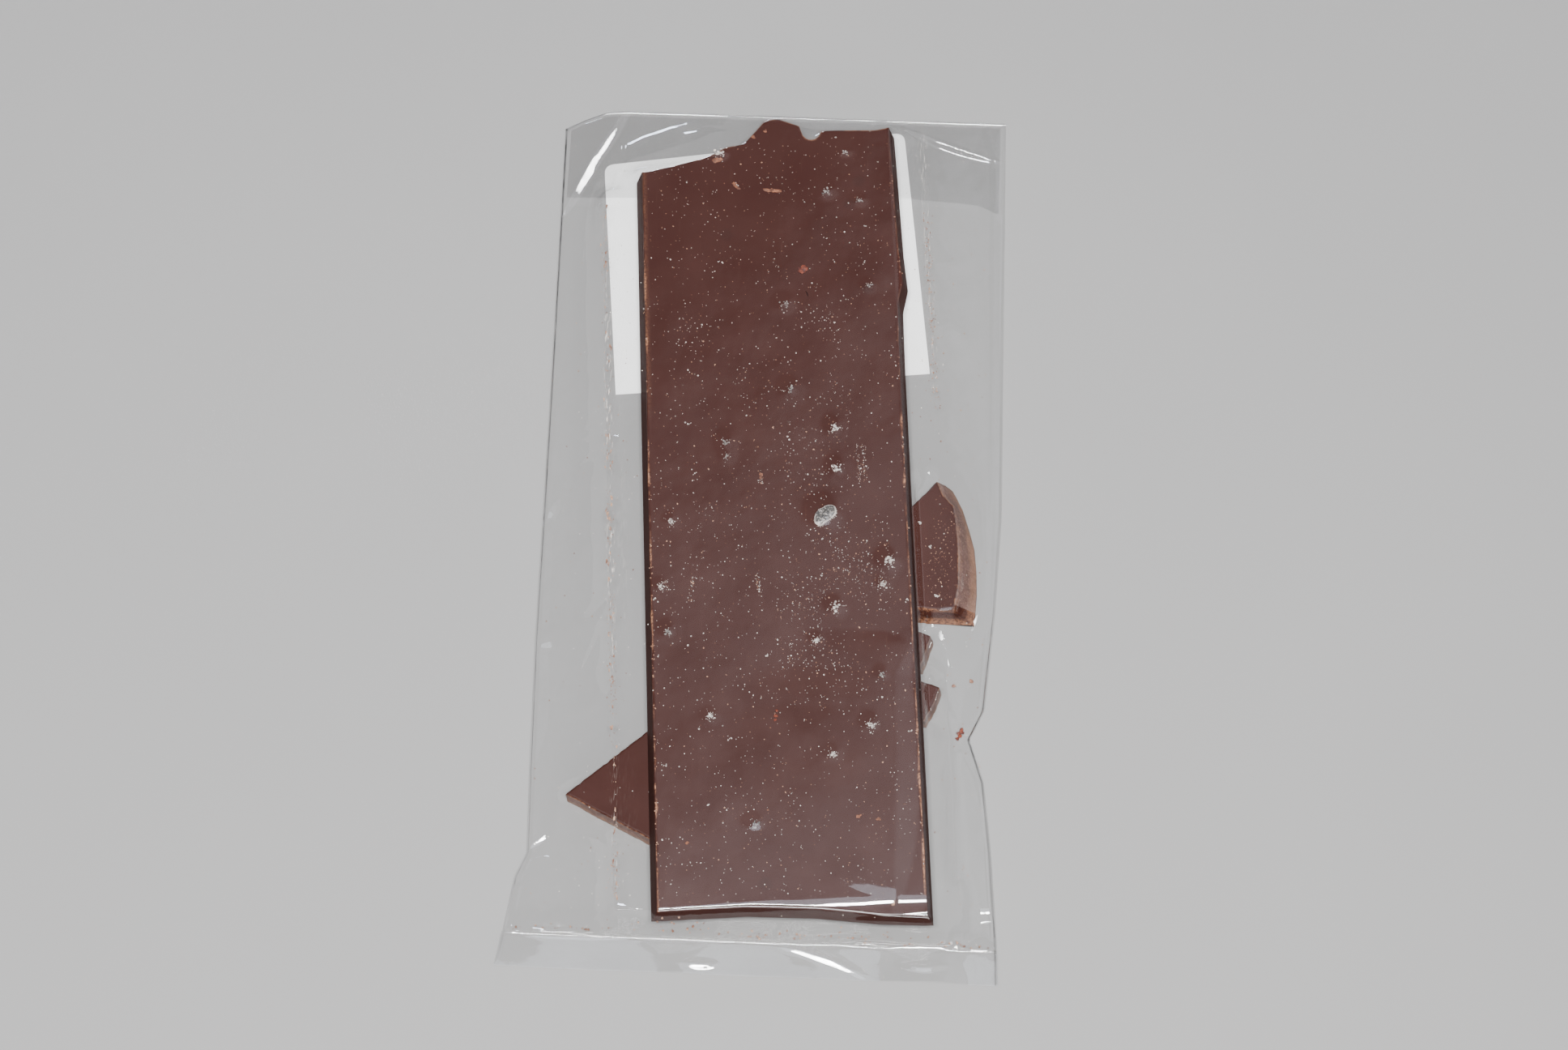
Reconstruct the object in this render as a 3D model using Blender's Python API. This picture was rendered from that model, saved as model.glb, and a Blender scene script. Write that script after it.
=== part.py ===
"""A clear film bag of broken chocolate, lying on its back on a table.

The bag is one closed solid, out to the film's own surface: a long slab, four shards and the largest
salt crystals stand in relief under the film, which slopes down to the bag's flat edges, its welded
end and its folded end. A paper label lies under the folded end.
Metres, +Z up, +Y towards the folded end. The origin is under the middle of the bag.
"""

import math
import random

import bmesh
import bpy
import numpy as np
from mathutils import Euler, Matrix, Vector

MM = 0.001

# Bag: a flat tube of film with its weld near one end and a fold at the other
BAG_WIDTH = 110 * MM
BAG_LENGTH = 213.4 * MM
SKIRT_LENGTH = 7.7 * MM
WELD_LINE = -BAG_LENGTH / 2 + SKIRT_LENGTH
WELD_HEIGHT = 2.2 * MM
RIM_THICKNESS = 0.8 * MM
# How far the film sags at each place of its grid, and how far what it lies on stands out of it
FILM_SAG = 0.12 * MM
SLAB_RELIEF = 0.4 * MM
SHARD_RELIEF = 1.2 * MM
# The film keeps the height of the slab's edge this far past it, and hugs a shard this far round it
FILM_OVERHANG = 1.6 * MM
SHARD_HUG = 1.5 * MM

# What the bag holds pulls its side edges in: (distance along the bag, how far in), in millimetres
LEFT_PULL = [
    (-106.7, 0.0), (-99, 1.0), (-86, 2.8), (-80.5, 5.1), (-60, 4.4), (-30, 3.6), (30, 3.0), (106.7, 2.0),
]
RIGHT_PULL = [
    (-106.7, 0.0), (-97, 0.2), (-76, 1.9), (-60, 3.8), (-50, 7.2),
    (-43, 4.0), (-20, 2.1), (4, 1.0), (54, 1.5), (106.7, 1.9),
]
# The folded end, as (across, along) in millimetres: its left corner is tucked in
FOLD_LINE = [(-53.0, 101.0), (-48.0, 103.8), (-43.5, 105.8), (-39.0, 106.3), (53.1, 106.7)]
# The rows of the film follow the fold's slant in this last share of the bag
FOLD_SHARE = 0.25
# The loose hem stands up in waves, as (across, height) in millimetres
HEM_WAVES = [
    (-55, 2.4), (-34, 0.5), (-15, 2.2), (-2, 0.9), (14, 2.0), (26, 1.2), (40, 3.4), (50, 1.8), (55, 2.0),
]

# Grid of the film: how many columns lie between one crease and the next, from the left
COLUMN_COUNTS = (6, 1, 3, 7, 3, 4)
COLUMNS = sum(COLUMN_COUNTS) + 1
ROW_STEP = 3.6 * MM
# Rows nearest the weld, as millimetres inside it, and rows of the skirt, as millimetres beyond it
LOWER_ROWS = (0, 1.4, 2.8, 4.4, 6.5, 9.5)
SKIRT_ROWS = (7.7, 5.2, 2.4)
# The underside rises to the weld over the first rows
UNDERSIDE_RISE = (WELD_HEIGHT - RIM_THICKNESS, 0.6 * MM)
RELAX_ROUNDS = 900

# Slab: a moulded bar with its far end broken off, lying askew on the shards
SLAB_WIDTH = 62 * MM
SLAB_THICKNESS = 5.5 * MM
SLAB_DRAFT = 1.4 * MM
SLAB_CORNER = Vector((-21.0 * MM, -96.8 * MM, 6.65 * MM))
SLAB_TURN = math.radians(4.3)
SLAB_FALL = 0.010
# Outline of its foot, anticlockwise, as (across from its left edge, along from its moulded end)
SLAB_NEAR_END = [(0, 0), (21, 0.4), (36, -0.5), (50, -2.3), (62.2, -3.0)]
SLAB_RIGHT_SIDE = [(61.6, 30), (61.6, 130), (61.8, 145.5), (63.2, 151.2), (62.6, 160), (61.8, 191.5)]
SLAB_BREAK_RIGHT = [(60.8, 192.1), (57.1, 191.4), (46.9, 191.7)]
SLAB_BREAK_LEFT = [
    (38.7, 193.3), (34.1, 195.2), (31.0, 194.9), (28.3, 191.7), (25.7, 188.7),
    (21.6, 188.0), (18.5, 186.3), (15.8, 185.1), (8.1, 183.2), (1.9, 181.9), (0, 182.2),
]
# A round bite in the break
NOTCH_CENTRE = (41.8, 191.6)
NOTCH_RADIUS = 2.2
NOTCH_STEPS = 6
# Points of the foot left and right of these lines are on the moulded sides, which lean in
MOULDED_LEFT = 1.0
MOULDED_RIGHT = 60.0
TOP_START = 1.6

# The film keeps the crease of the slab's first place, left of it: its top, its foot and its drop
CREASE_OFFSET = 7.5 * MM
CREASE_FOOT = 10.2 * MM
CREASE_DROP = 1.0 * MM
CREASE_SPAN = (1 * MM, 178 * MM)
# It meets the back film again right of the slab, along this stretch of it
TOUCHDOWN_OFFSET = 5.5 * MM
TOUCHDOWN_SPAN = (8 * MM, 56 * MM)
TOUCHDOWN_HEIGHT = 1.6 * MM
# A grid point counts as on a crease line when it is this near
LINE_TOLERANCE = 0.1 * MM

# Shards under and beside the slab: their top outlines, in millimetres
SHARD_THICKNESS = 5.5 * MM
SHARD_FLOOR = 0.3 * MM
RIGHT_SHARD = [
    (38.7, 10.5), (40.3, 6.9), (42.5, 4.6), (43.4, 0.0), (44.0, -7.0), (44.1, -15.0), (43.2, -21.3),
    (35.1, -20.7), (16.0, -22.0), (6.0, -9.0), (9.0, 5.0), (24.0, 1.5), (33.1, 3.8),
]
LEFT_SHARD = [(-41.6, -68.1), (-22.6, -77.6), (-6.0, -80.0), (-4.0, -50.0), (-14.0, -43.5)]
SMALL_SHARD_A = [(35.4, -26.4), (38.2, -27.4), (36.0, -34.8), (26.0, -33.0), (27.0, -24.0)]
SMALL_SHARD_B = [(36.1, -38.1), (40.5, -39.6), (39.5, -42.8), (37.3, -47.5), (27.0, -46.0), (28.0, -37.0)]
# Each with how far its foot spreads to the right and towards the weld
SHARDS = [
    ("right_shard", RIGHT_SHARD, (4.3, -1.6)),
    ("left_shard", LEFT_SHARD, (0.0, 0.0)),
    ("small_shard_a", SMALL_SHARD_A, (0.9, 0.0)),
    ("small_shard_b", SMALL_SHARD_B, (0.7, 0.0)),
]
# Points this near a shard's right-hand end, or its end by the weld, lie on the broken side there
BROKEN_SIDE_DEPTH = 6.0
BROKEN_END_DEPTH = 2.0

# Salt crystals on the slab: (across, along, size) in the slab's own millimetres
SALT = [
    (41.3, 93.1, 4.6), (44.3, 114.4, 2.4), (44.5, 104.2, 2.6), (55.5, 81.1, 3.2), (43.0, 70.3, 2.8),
    (53.8, 75.3, 2.0), (19.4, 111.7, 2.2), (19.5, 108.1, 1.8), (6.5, 92.4, 1.8), (3.8, 76.5, 2.0),
    (5.1, 65.7, 2.4), (38.4, 62.5, 1.8), (52.8, 53.7, 2.2), (49.8, 42.0, 2.4), (14.3, 45.1, 2.0),
    (41.1, 35.3, 1.9), (23.3, 19.7, 2.6), (33.9, 146.3, 2.4), (53.7, 150.3, 1.9), (44.8, 175.3, 2.8),
    (52.5, 172.7, 2.0), (49.6, 185.7, 1.8), (19.8, 186.3, 2.4), (34.6, 124.5, 2.6),
]
SALT_SEED = 7

# Label: paper stuck to the back of the bag, in a shallow seat
LABEL_THICKNESS = 0.3 * MM
LABEL_GAP = 0.3 * MM
LABEL_MARGIN = 0.45
LABEL_CORNERS = [(-36.7, 31.6), (36.5, 40.0), (28.6, 103.4), (-43.0, 91.6)]
LABEL_ROUNDING = 2.5
LABEL_CORNER_STEPS = 4

# Edges that turn by more than this stay sharp
SHARP_ANGLE = math.radians(28)


def clear_scene():
    for obj in list(bpy.data.objects):
        bpy.data.objects.remove(obj, do_unlink=True)


def material(name, colour, roughness, alpha=1.0):
    """A plain Principled surface, in the part's own colour."""
    made = bpy.data.materials.new(name)
    made.use_nodes = True
    shader = made.node_tree.nodes["Principled BSDF"]
    shader.inputs["Base Color"].default_value = (*colour, 1.0)
    shader.inputs["Roughness"].default_value = roughness
    shader.inputs["Metallic"].default_value = 0.0
    shader.inputs["Alpha"].default_value = alpha
    made.diffuse_color = (*colour, alpha)
    return made


def new_object(name, mesh, surface, collection=None):
    obj = bpy.data.objects.new(name, mesh)
    mesh.materials.append(surface)
    (collection or bpy.context.scene.collection).objects.link(obj)
    return obj


def mesh_from(name, shape):
    """The finished mesh of a closed shape, in triangles that face outwards."""
    bmesh.ops.recalc_face_normals(shape, faces=shape.faces)
    bmesh.ops.triangulate(shape, faces=shape.faces)
    mesh = bpy.data.meshes.new(name)
    shape.to_mesh(mesh)
    shape.free()
    return mesh


def prism(name, foot, top):
    """A closed solid between two outlines with the same number of points, anticlockwise from above."""
    shape = bmesh.new()
    low = [shape.verts.new(p) for p in foot]
    high = [shape.verts.new(p) for p in top]
    shape.faces.new(list(reversed(low)))
    shape.faces.new(high)
    for i in range(len(low)):
        j = (i + 1) % len(low)
        shape.faces.new((low[i], low[j], high[j], high[i]))
    return mesh_from(name, shape)


def left_edge(along):
    """Where the left side edge runs, at distances along the bag, in metres."""
    stations = np.array(LEFT_PULL) * MM
    return np.interp(along, stations[:, 0], stations[:, 1]) - BAG_WIDTH / 2


def right_edge(along):
    stations = np.array(RIGHT_PULL) * MM
    return BAG_WIDTH / 2 - np.interp(along, stations[:, 0], stations[:, 1])


def fold_at(across):
    stations = np.array(FOLD_LINE) * MM
    return np.interp(across, stations[:, 0], stations[:, 1])


def hem_height(across):
    """Height of the loose hem's waves, rounded between their crests and troughs."""
    stations = np.array(HEM_WAVES) * MM
    place = np.interp(across, stations[:, 0], np.arange(len(stations)))
    low = np.minimum(place.astype(int), len(stations) - 2)
    blend = 0.5 - 0.5 * np.cos(math.pi * (place - low))
    return stations[low, 1] * (1 - blend) + stations[low + 1, 1] * blend


def slab_to_bag(across, along):
    """The slab's own plan coordinates, in metres, turned into the bag's."""
    c, s = math.cos(SLAB_TURN), math.sin(SLAB_TURN)
    x = SLAB_CORNER.x + across * c - along * s
    y = SLAB_CORNER.y + across * s + along * c
    return x, y


def bag_to_slab(x, y):
    c, s = math.cos(SLAB_TURN), math.sin(SLAB_TURN)
    dx, dy = x - SLAB_CORNER.x, y - SLAB_CORNER.y
    return dx * c + dy * s, dy * c - dx * s


def slab_underside(y):
    return SLAB_CORNER.z - SLAB_FALL * (y - SLAB_CORNER.y)


def slab_outline():
    """The slab's foot, anticlockwise from above, in its own millimetres, with the bite in its break."""
    bite = []
    for step in range(NOTCH_STEPS + 1):
        angle = -math.pi * step / NOTCH_STEPS
        across = NOTCH_CENTRE[0] + NOTCH_RADIUS * math.cos(angle)
        along = NOTCH_CENTRE[1] + NOTCH_RADIUS * math.sin(angle)
        bite.append((across, along))
    return SLAB_NEAR_END + SLAB_RIGHT_SIDE + SLAB_BREAK_RIGHT + bite + SLAB_BREAK_LEFT


def drafted(across, along):
    """The point of the top face over a point of the foot: moulded sides lean in, the break is upright."""
    if across < MOULDED_LEFT:
        across += SLAB_DRAFT / MM
    elif across > MOULDED_RIGHT:
        across -= SLAB_DRAFT / MM
    return across, max(along, TOP_START)


def slab_rings():
    foot, top = [], []
    for across, along in slab_outline():
        x, y = slab_to_bag(across * MM, along * MM)
        foot.append(Vector((x, y, slab_underside(y))))
        across, along = drafted(across, along)
        x, y = slab_to_bag(across * MM, along * MM)
        top.append(Vector((x, y, slab_underside(y) + SLAB_THICKNESS)))
    return foot, top


def shard_rings(outline, spread):
    """Foot and top of a shard: its right-hand side and its end by the weld spread outwards."""
    right = max(x for x, y in outline)
    near = min(y for x, y in outline)
    foot, top = [], []
    for x, y in outline:
        out = spread[0] if right - x < BROKEN_SIDE_DEPTH else 0.0
        back = spread[1] if y - near < BROKEN_END_DEPTH else 0.0
        foot.append(Vector(((x + out) * MM, (y + back) * MM, SHARD_FLOOR)))
        top.append(Vector((x * MM, y * MM, SHARD_FLOOR + SHARD_THICKNESS)))
    turn = sum(a.x * b.y - b.x * a.y for a, b in zip(top, top[1:] + top[:1]))
    if turn < 0:
        foot.reverse()
        top.reverse()
    return foot, top


def depth_inside(x, y, ring):
    """How far points lie inside a closed outline: negative outside."""
    inside = np.zeros(x.shape, bool)
    nearest = np.full(x.shape, np.inf)
    for a, b in zip(ring, ring[1:] + ring[:1]):
        ex, ey = b.x - a.x, b.y - a.y
        if ey:
            crosses = (a.y > y) != (b.y > y)
            inside ^= crosses & (x < ex * (y - a.y) / ey + a.x)
        t = np.clip(((x - a.x) * ex + (y - a.y) * ey) / (ex * ex + ey * ey), 0, 1)
        nearest = np.minimum(nearest, np.hypot(x - a.x - t * ex, y - a.y - t * ey))
    return np.where(inside, nearest, -nearest)


def contents_height(x, y):
    """The height that the film lies on, from the slab, its old crease and the shards."""
    height = np.full(x.shape, RIM_THICKNESS)
    under_film = slab_underside(y) + SLAB_THICKNESS - SLAB_RELIEF
    depth = depth_inside(x, y, slab_rings()[1])
    on_slab = depth > -FILM_OVERHANG
    height = np.where(on_slab, np.maximum(height, under_film + np.minimum(depth, 0)), height)
    across, along = bag_to_slab(x, y)
    low, high = CREASE_SPAN
    on_crease = (across > -CREASE_OFFSET - LINE_TOLERANCE) & (across <= 0) & (along > low) & (along < high)
    crease = under_film + CREASE_DROP * across / CREASE_OFFSET
    height = np.where(on_crease, np.maximum(height, crease), height)
    for _, outline, spread in SHARDS:
        over = depth_inside(x, y, shard_rings(outline, spread)[1]) > 0
        height = np.where(over, np.maximum(height, SHARD_FLOOR + SHARD_THICKNESS - SHARD_RELIEF), height)
    return height


def film_ceiling(x, y):
    """Upper bound of the film: on the back film right of the slab, and close over the shards beside it."""
    across, along = bag_to_slab(x, y)
    low, high = TOUCHDOWN_SPAN
    past = across > SLAB_WIDTH + TOUCHDOWN_OFFSET - LINE_TOLERANCE
    ceiling = np.where(past & (along > low) & (along < high), TOUCHDOWN_HEIGHT, np.inf)
    beside = (across < -CREASE_FOOT + LINE_TOLERANCE) | (across > SLAB_WIDTH + SHARD_HUG / 3)
    hugged = SHARD_FLOOR + SHARD_THICKNESS - SHARD_RELIEF
    for _, outline, spread in SHARDS:
        depth = depth_inside(x, y, shard_rings(outline, spread)[1])
        ceiling = np.where(beside & (depth > -SHARD_HUG), np.minimum(ceiling, hugged), ceiling)
    return ceiling


def across_lines(along):
    """Where creases cross a row: edge, old crease's foot and top, slab's two top edges, touchdown, edge."""
    left_side = SLAB_CORNER.x - (along - SLAB_CORNER.y) * math.tan(SLAB_TURN)
    slab_edges = (SLAB_DRAFT, SLAB_WIDTH - SLAB_DRAFT)
    steps = (-CREASE_FOOT, -CREASE_OFFSET, *slab_edges, SLAB_WIDTH + TOUCHDOWN_OFFSET)
    inner = [left_side + step / math.cos(SLAB_TURN) for step in steps]
    return [left_edge(along), *inner, right_edge(along)]


def columns_at(along):
    """The film's columns, where along holds the distance along the bag of each of their points."""
    lines = across_lines(along)
    across = np.empty(along.shape)
    column = 0
    for near, far, count in zip(lines, lines[1:], COLUMN_COUNTS):
        for step in range(count + 1):
            share = step / count
            place = column + step
            across[:, place] = near[:, place] * (1 - share) + far[:, place] * share
        column += count
    return across


def body_grid():
    """Plan of the film from the weld to the fold: rows along the bag, columns across it."""
    rows = [WELD_LINE + step * MM for step in LOWER_ROWS]
    first, end = rows[-1], BAG_LENGTH / 2
    count = round((end - first) / ROW_STEP)
    rows += [first + (end - first) * (i + 1) / count for i in range(count)]
    along = np.repeat(np.array(rows)[:, None], COLUMNS, axis=1)
    share = (end - along) / (end - WELD_LINE)
    along = along + (fold_at(columns_at(along)) - end) * np.clip(1 - share / FOLD_SHARE, 0, 1)
    return columns_at(along), along


def relaxed_film(x, y):
    """Heights of the film: it spans its contents and edges as a slack skin, never under what it holds."""
    floor = contents_height(x, y)
    ceiling = film_ceiling(x, y)
    edge = np.zeros(x.shape, bool)
    edge[:, [0, -1]] = True
    edge[[0, -1], :] = True
    rim = np.where(np.arange(x.shape[0])[:, None] == 0, WELD_HEIGHT, RIM_THICKNESS)
    z = np.where(edge, rim, np.maximum(floor, RIM_THICKNESS))
    side = 1 / np.hypot(np.diff(x, axis=1), np.diff(y, axis=1))
    end = 1 / np.hypot(np.diff(x, axis=0), np.diff(y, axis=0))
    weight = side[1:-1, :-1] + side[1:-1, 1:] + end[:-1, 1:-1] + end[1:, 1:-1]
    for _ in range(RELAX_ROUNDS):
        pull = side[1:-1, :-1] * z[1:-1, :-2] + side[1:-1, 1:] * z[1:-1, 2:]
        pull = pull + end[:-1, 1:-1] * z[:-2, 1:-1] + end[1:, 1:-1] * z[2:, 1:-1]
        slack = np.minimum(pull / weight - FILM_SAG, ceiling[1:-1, 1:-1])
        z[1:-1, 1:-1] = np.maximum(slack, floor[1:-1, 1:-1])
    return z


def skirt_grid():
    """The loose film beyond the weld, hem first: its plan and the height of its middle."""
    along = np.repeat(WELD_LINE - np.array(SKIRT_ROWS)[:, None] * MM, COLUMNS, axis=1)
    across = columns_at(along)
    half = RIM_THICKNESS / 2
    share = (WELD_LINE - along) / SKIRT_LENGTH
    middle = (WELD_HEIGHT - half) * (1 - share) + (hem_height(across) + half) * share
    return across, along, middle


def film_rows(shape):
    """The points of the film's upper face, and of its lower face as far as the flat underside."""
    half = RIM_THICKNESS / 2
    upper, lower = [], []
    for across, along, middle in zip(*skirt_grid()):
        upper.append([shape.verts.new(p) for p in zip(across, along, middle + half)])
        lower.append([shape.verts.new(p) for p in zip(across, along, middle - half)])
    x, y = body_grid()
    for row in zip(x, y, relaxed_film(x, y)):
        upper.append([shape.verts.new(p) for p in zip(*row)])
    for i, height in enumerate((*UNDERSIDE_RISE, 0)):
        lower.append([shape.verts.new((a, b, height)) for a, b in zip(x[i], y[i])])
    return upper, lower


def bridge_rows(shape, rows):
    for near, far in zip(rows, rows[1:]):
        for i in range(COLUMNS - 1):
            shape.faces.new((near[i], near[i + 1], far[i + 1], far[i]))


def bridge_columns(shape, over, under):
    for i in range(len(over) - 1):
        shape.faces.new((over[i], over[i + 1], under[i + 1], under[i]))


def film_body():
    """The film and all that it encloses, as one closed mesh with a flat underside."""
    shape = bmesh.new()
    upper, lower = film_rows(shape)
    bridge_rows(shape, upper)
    bridge_rows(shape, lower)
    left, right = [], []
    for row in upper[len(lower):-1]:
        left.append(shape.verts.new((row[0].co.x, row[0].co.y, 0)))
        right.append(shape.verts.new((row[-1].co.x, row[-1].co.y, 0)))
    last = [shape.verts.new((v.co.x, v.co.y, 0)) for v in upper[-1]]
    left_rim = [row[0] for row in lower] + left + last[:1]
    right_rim = [row[-1] for row in lower] + right + last[-1:]
    bridge_columns(shape, [row[0] for row in upper], left_rim)
    bridge_columns(shape, [row[-1] for row in upper], right_rim)
    bridge_columns(shape, upper[0], lower[0])
    bridge_columns(shape, upper[-1], last)
    shape.faces.new(lower[-1] + right + last[::-1] + left[::-1])
    return mesh_from("bag", shape)


def salt_crystal(across, along, size, rng):
    """A lump of twenty facets, half sunk in the slab's face."""
    x, y = slab_to_bag(across * MM, along * MM)
    z = slab_underside(y) + SLAB_THICKNESS
    shape = bmesh.new()
    bmesh.ops.create_icosphere(shape, subdivisions=1, radius=size * MM / 2)
    for vert in shape.verts:
        vert.co *= rng.uniform(0.85, 1.1)
    stretch = Matrix.Diagonal((1.15, rng.uniform(0.75, 1.0), 0.55, 1.0))
    turned = Euler((0, 0, rng.uniform(0, math.pi))).to_matrix().to_4x4()
    shape.transform(Matrix.Translation((x, y, z)) @ turned @ stretch)
    return mesh_from("salt", shape)


def apply_modifiers(obj):
    """Gives the object the mesh that its modifiers make, and drops them."""
    graph = bpy.context.evaluated_depsgraph_get()
    made = bpy.data.meshes.new_from_object(obj.evaluated_get(graph))
    obj.modifiers.clear()
    obj.data = made


def round_corner(corner, before, after):
    """Points of a curve that replaces a corner of the label."""
    corner, before, after = Vector(corner), Vector(before), Vector(after)
    start = corner + (before - corner).normalized() * LABEL_ROUNDING
    end = corner + (after - corner).normalized() * LABEL_ROUNDING
    points = []
    for step in range(LABEL_CORNER_STEPS + 1):
        t = step / LABEL_CORNER_STEPS
        points.append(start * (1 - t) ** 2 + corner * 2 * t * (1 - t) + end * t ** 2)
    return points


def label_prism(name, grow, low, high):
    """A sheet in the label's outline, with its two far corners rounded, grown by some millimetres."""
    low_left, low_right, far_right, far_left = LABEL_CORNERS
    points = [Vector(low_left), Vector(low_right)]
    points += round_corner(far_right, low_right, far_left)
    points += round_corner(far_left, far_right, low_left)
    middle = sum(points, Vector((0, 0))) / len(points)
    outline = [(p + (p - middle).normalized() * grow) * MM for p in points]
    return prism(name, [(p.x, p.y, low) for p in outline], [(p.x, p.y, high) for p in outline])


def fill_held(held):
    """The slab, the shards and the salt, in the collection of what the bag holds."""
    chocolate = material("dark_chocolate", (0.070, 0.026, 0.018), 0.38)
    salt = material("salt_crystal", (0.75, 0.73, 0.70), 0.4)
    new_object("slab", prism("slab", *slab_rings()), chocolate, held)
    for name, outline, spread in SHARDS:
        new_object(name, prism(name, *shard_rings(outline, spread)), chocolate, held)
    rng = random.Random(SALT_SEED)
    for across, along, size in SALT:
        new_object("salt", salt_crystal(across, along, size, rng), salt, held)


def make_bag():
    """The film's body joined with all that stands out under the film."""
    film = material("clear_film", (0.60, 0.66, 0.70), 0.12, 0.55)
    bag = new_object("bag", film_body(), film)
    held = bpy.data.collections.new("held_in_bag")
    bpy.context.scene.collection.children.link(held)
    fill_held(held)
    join = bag.modifiers.new("join", "BOOLEAN")
    join.operation = "UNION"
    join.operand_type = "COLLECTION"
    join.collection = held
    join.material_mode = "TRANSFER"
    apply_modifiers(bag)
    for obj in list(held.objects):
        bpy.data.objects.remove(obj, do_unlink=True)
    bpy.data.collections.remove(held)
    return bag


def make_label(bag):
    """The label, and the shallow seat for it in the bag's underside."""
    paper = material("white_paper", (0.88, 0.88, 0.87), 0.7)
    new_object("label", label_prism("label", 0.0, 0.0, LABEL_THICKNESS), paper)
    seat = label_prism("seat", LABEL_MARGIN, -LABEL_THICKNESS, LABEL_THICKNESS + LABEL_GAP)
    cutter = new_object("seat", seat, paper)
    cut = bag.modifiers.new("seat", "BOOLEAN")
    cut.operation = "DIFFERENCE"
    cut.object = cutter
    apply_modifiers(bag)
    bpy.data.objects.remove(cutter, do_unlink=True)


def main():
    clear_scene()
    bag = make_bag()
    make_label(bag)
    bag.data.shade_smooth()
    bag.data.set_sharp_from_angle(angle=SHARP_ANGLE)


main()
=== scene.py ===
"""The looks of a clear film bag of broken chocolate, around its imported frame.

Lengths are millimetres here until a mesh is made from them, and only the camera and the lamps are set
in metres. As in the frame, +Y runs from the bag's weld to its fold, +Z is up, and the table is z = 0.
"""

import math

import bpy
import numpy as np
from mathutils import Matrix, Vector


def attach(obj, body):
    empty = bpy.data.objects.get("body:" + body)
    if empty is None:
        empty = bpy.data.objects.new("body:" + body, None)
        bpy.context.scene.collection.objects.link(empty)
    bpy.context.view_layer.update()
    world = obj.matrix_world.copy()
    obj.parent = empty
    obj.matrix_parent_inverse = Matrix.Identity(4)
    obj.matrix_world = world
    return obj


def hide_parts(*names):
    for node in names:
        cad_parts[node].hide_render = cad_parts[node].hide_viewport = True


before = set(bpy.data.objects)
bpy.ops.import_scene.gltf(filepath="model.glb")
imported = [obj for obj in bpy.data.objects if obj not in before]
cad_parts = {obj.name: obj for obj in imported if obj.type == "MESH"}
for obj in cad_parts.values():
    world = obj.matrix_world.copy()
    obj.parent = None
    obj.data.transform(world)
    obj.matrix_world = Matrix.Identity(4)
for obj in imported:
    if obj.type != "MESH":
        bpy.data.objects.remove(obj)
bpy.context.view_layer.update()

MM = 0.001

# Bag: a flat tube of film, welded near one end and folded over at the other
BAG_WIDTH = 110.0
BAG_LENGTH = 213.4
BAG_END = BAG_LENGTH / 2
SKIRT_LENGTH = 7.7
WELD_LINE = SKIRT_LENGTH - BAG_END
WELD_HEIGHT = 2.0
# The side edges are pulled in by what the bag holds: (along the bag, how far in)
LEFT_PULL = [
    (-106.7, 0.0), (-99, 1.0), (-86, 2.8), (-80.5, 5.1),
    (-60, 4.4), (-30, 3.6), (30, 3.0), (106.7, 2.0),
]
RIGHT_PULL = [
    (-106.7, 0.0), (-97, 0.2), (-76, 1.9), (-60, 3.8), (-50, 7.2),
    (-43, 4.0), (-20, 2.1), (4, 1.0), (54, 1.5), (106.7, 1.9),
]
# The folded end, as (across, along): its left corner is tucked in
FOLD_LINE = [(-53.0, 101.0), (-48.0, 103.8), (-43.5, 105.8), (-39.0, 106.3), (53.1, 106.7)]
FOLD_SHARE = 0.25
# The loose hem stands up in waves, as (across, height)
HEM_WAVES = [
    (-55, 2.4), (-34, 1.7), (-15, 2.4), (-2, 1.8), (14, 2.3),
    (26, 1.8), (40, 3.2), (50, 2.0), (55, 2.1),
]
# Sheets of film: the edge of a fold rolls through these, as (inwards from the edge, height)
EDGE_ROLL = [(0.12, 0.60), (0.0, 0.40), (0.10, 0.18), (0.60, 0.12)]
EDGE_INSET = 0.5
EDGE_HEIGHT = 0.62
FILM_GAP = 0.3

# Grid of the front film: columns from one crease to the next and the length of a row, at its coarsest
ZONE_COLUMNS = (12, 1, 4, 21, 3, 9)
ROW_LENGTH = 2.4
FINENESS = (1, 2, 4)
RELAX_ROUNDS = (500, 260, 160)
FILM_SAG = 0.05
# Rows crowd together towards both ends of the bag by this share
ROW_CROWDING = 0.45

# Slab: a moulded bar with its far end broken off, lying askew on the shards
SLAB_WIDTH = 62.0
SLAB_LENGTH = 190.0
SLAB_THICKNESS = 5.5
SLAB_DRAFT = 1.4
SLAB_CORNER = (-21.0, -96.8, 6.65)
SLAB_TURN = math.radians(4.3)
SLAB_FALL = 0.010
SLAB_NEAR_END = [(0, 0), (21, 0.4), (36, -0.5), (50, -2.3), (62.2, -3.0)]
SLAB_RIGHT_SIDE = [(61.6, 30), (61.6, 130), (61.8, 145.5), (63.2, 151.2), (62.6, 160), (61.8, 191.5)]
SLAB_BREAK = [
    (0, 182.2), (1.9, 181.9), (8.1, 183.2), (15.8, 185.1), (18.5, 186.3), (21.6, 188.0), (25.7, 188.7),
    (28.3, 191.7), (31.0, 194.9), (34.1, 195.2), (38.7, 193.3), (41.8, 191.6), (46.9, 191.7),
    (57.1, 191.4), (60.8, 192.1), (61.8, 191.5),
]
NOTCH_CENTRE = (41.8, 191.6)
NOTCH_RADIUS = 2.2
# The top face starts this far inside the moulded near end
NEAR_DRAFT = 0.6
# Rows and columns of its face crowd at its edges, this far in
SLAB_EDGE_STEPS = [0, 0.1, 0.2, 0.32, 0.46, 0.65, 0.95, 1.4, 2.0, 2.8]
SLAB_SIDE_RINGS = 8

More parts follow.
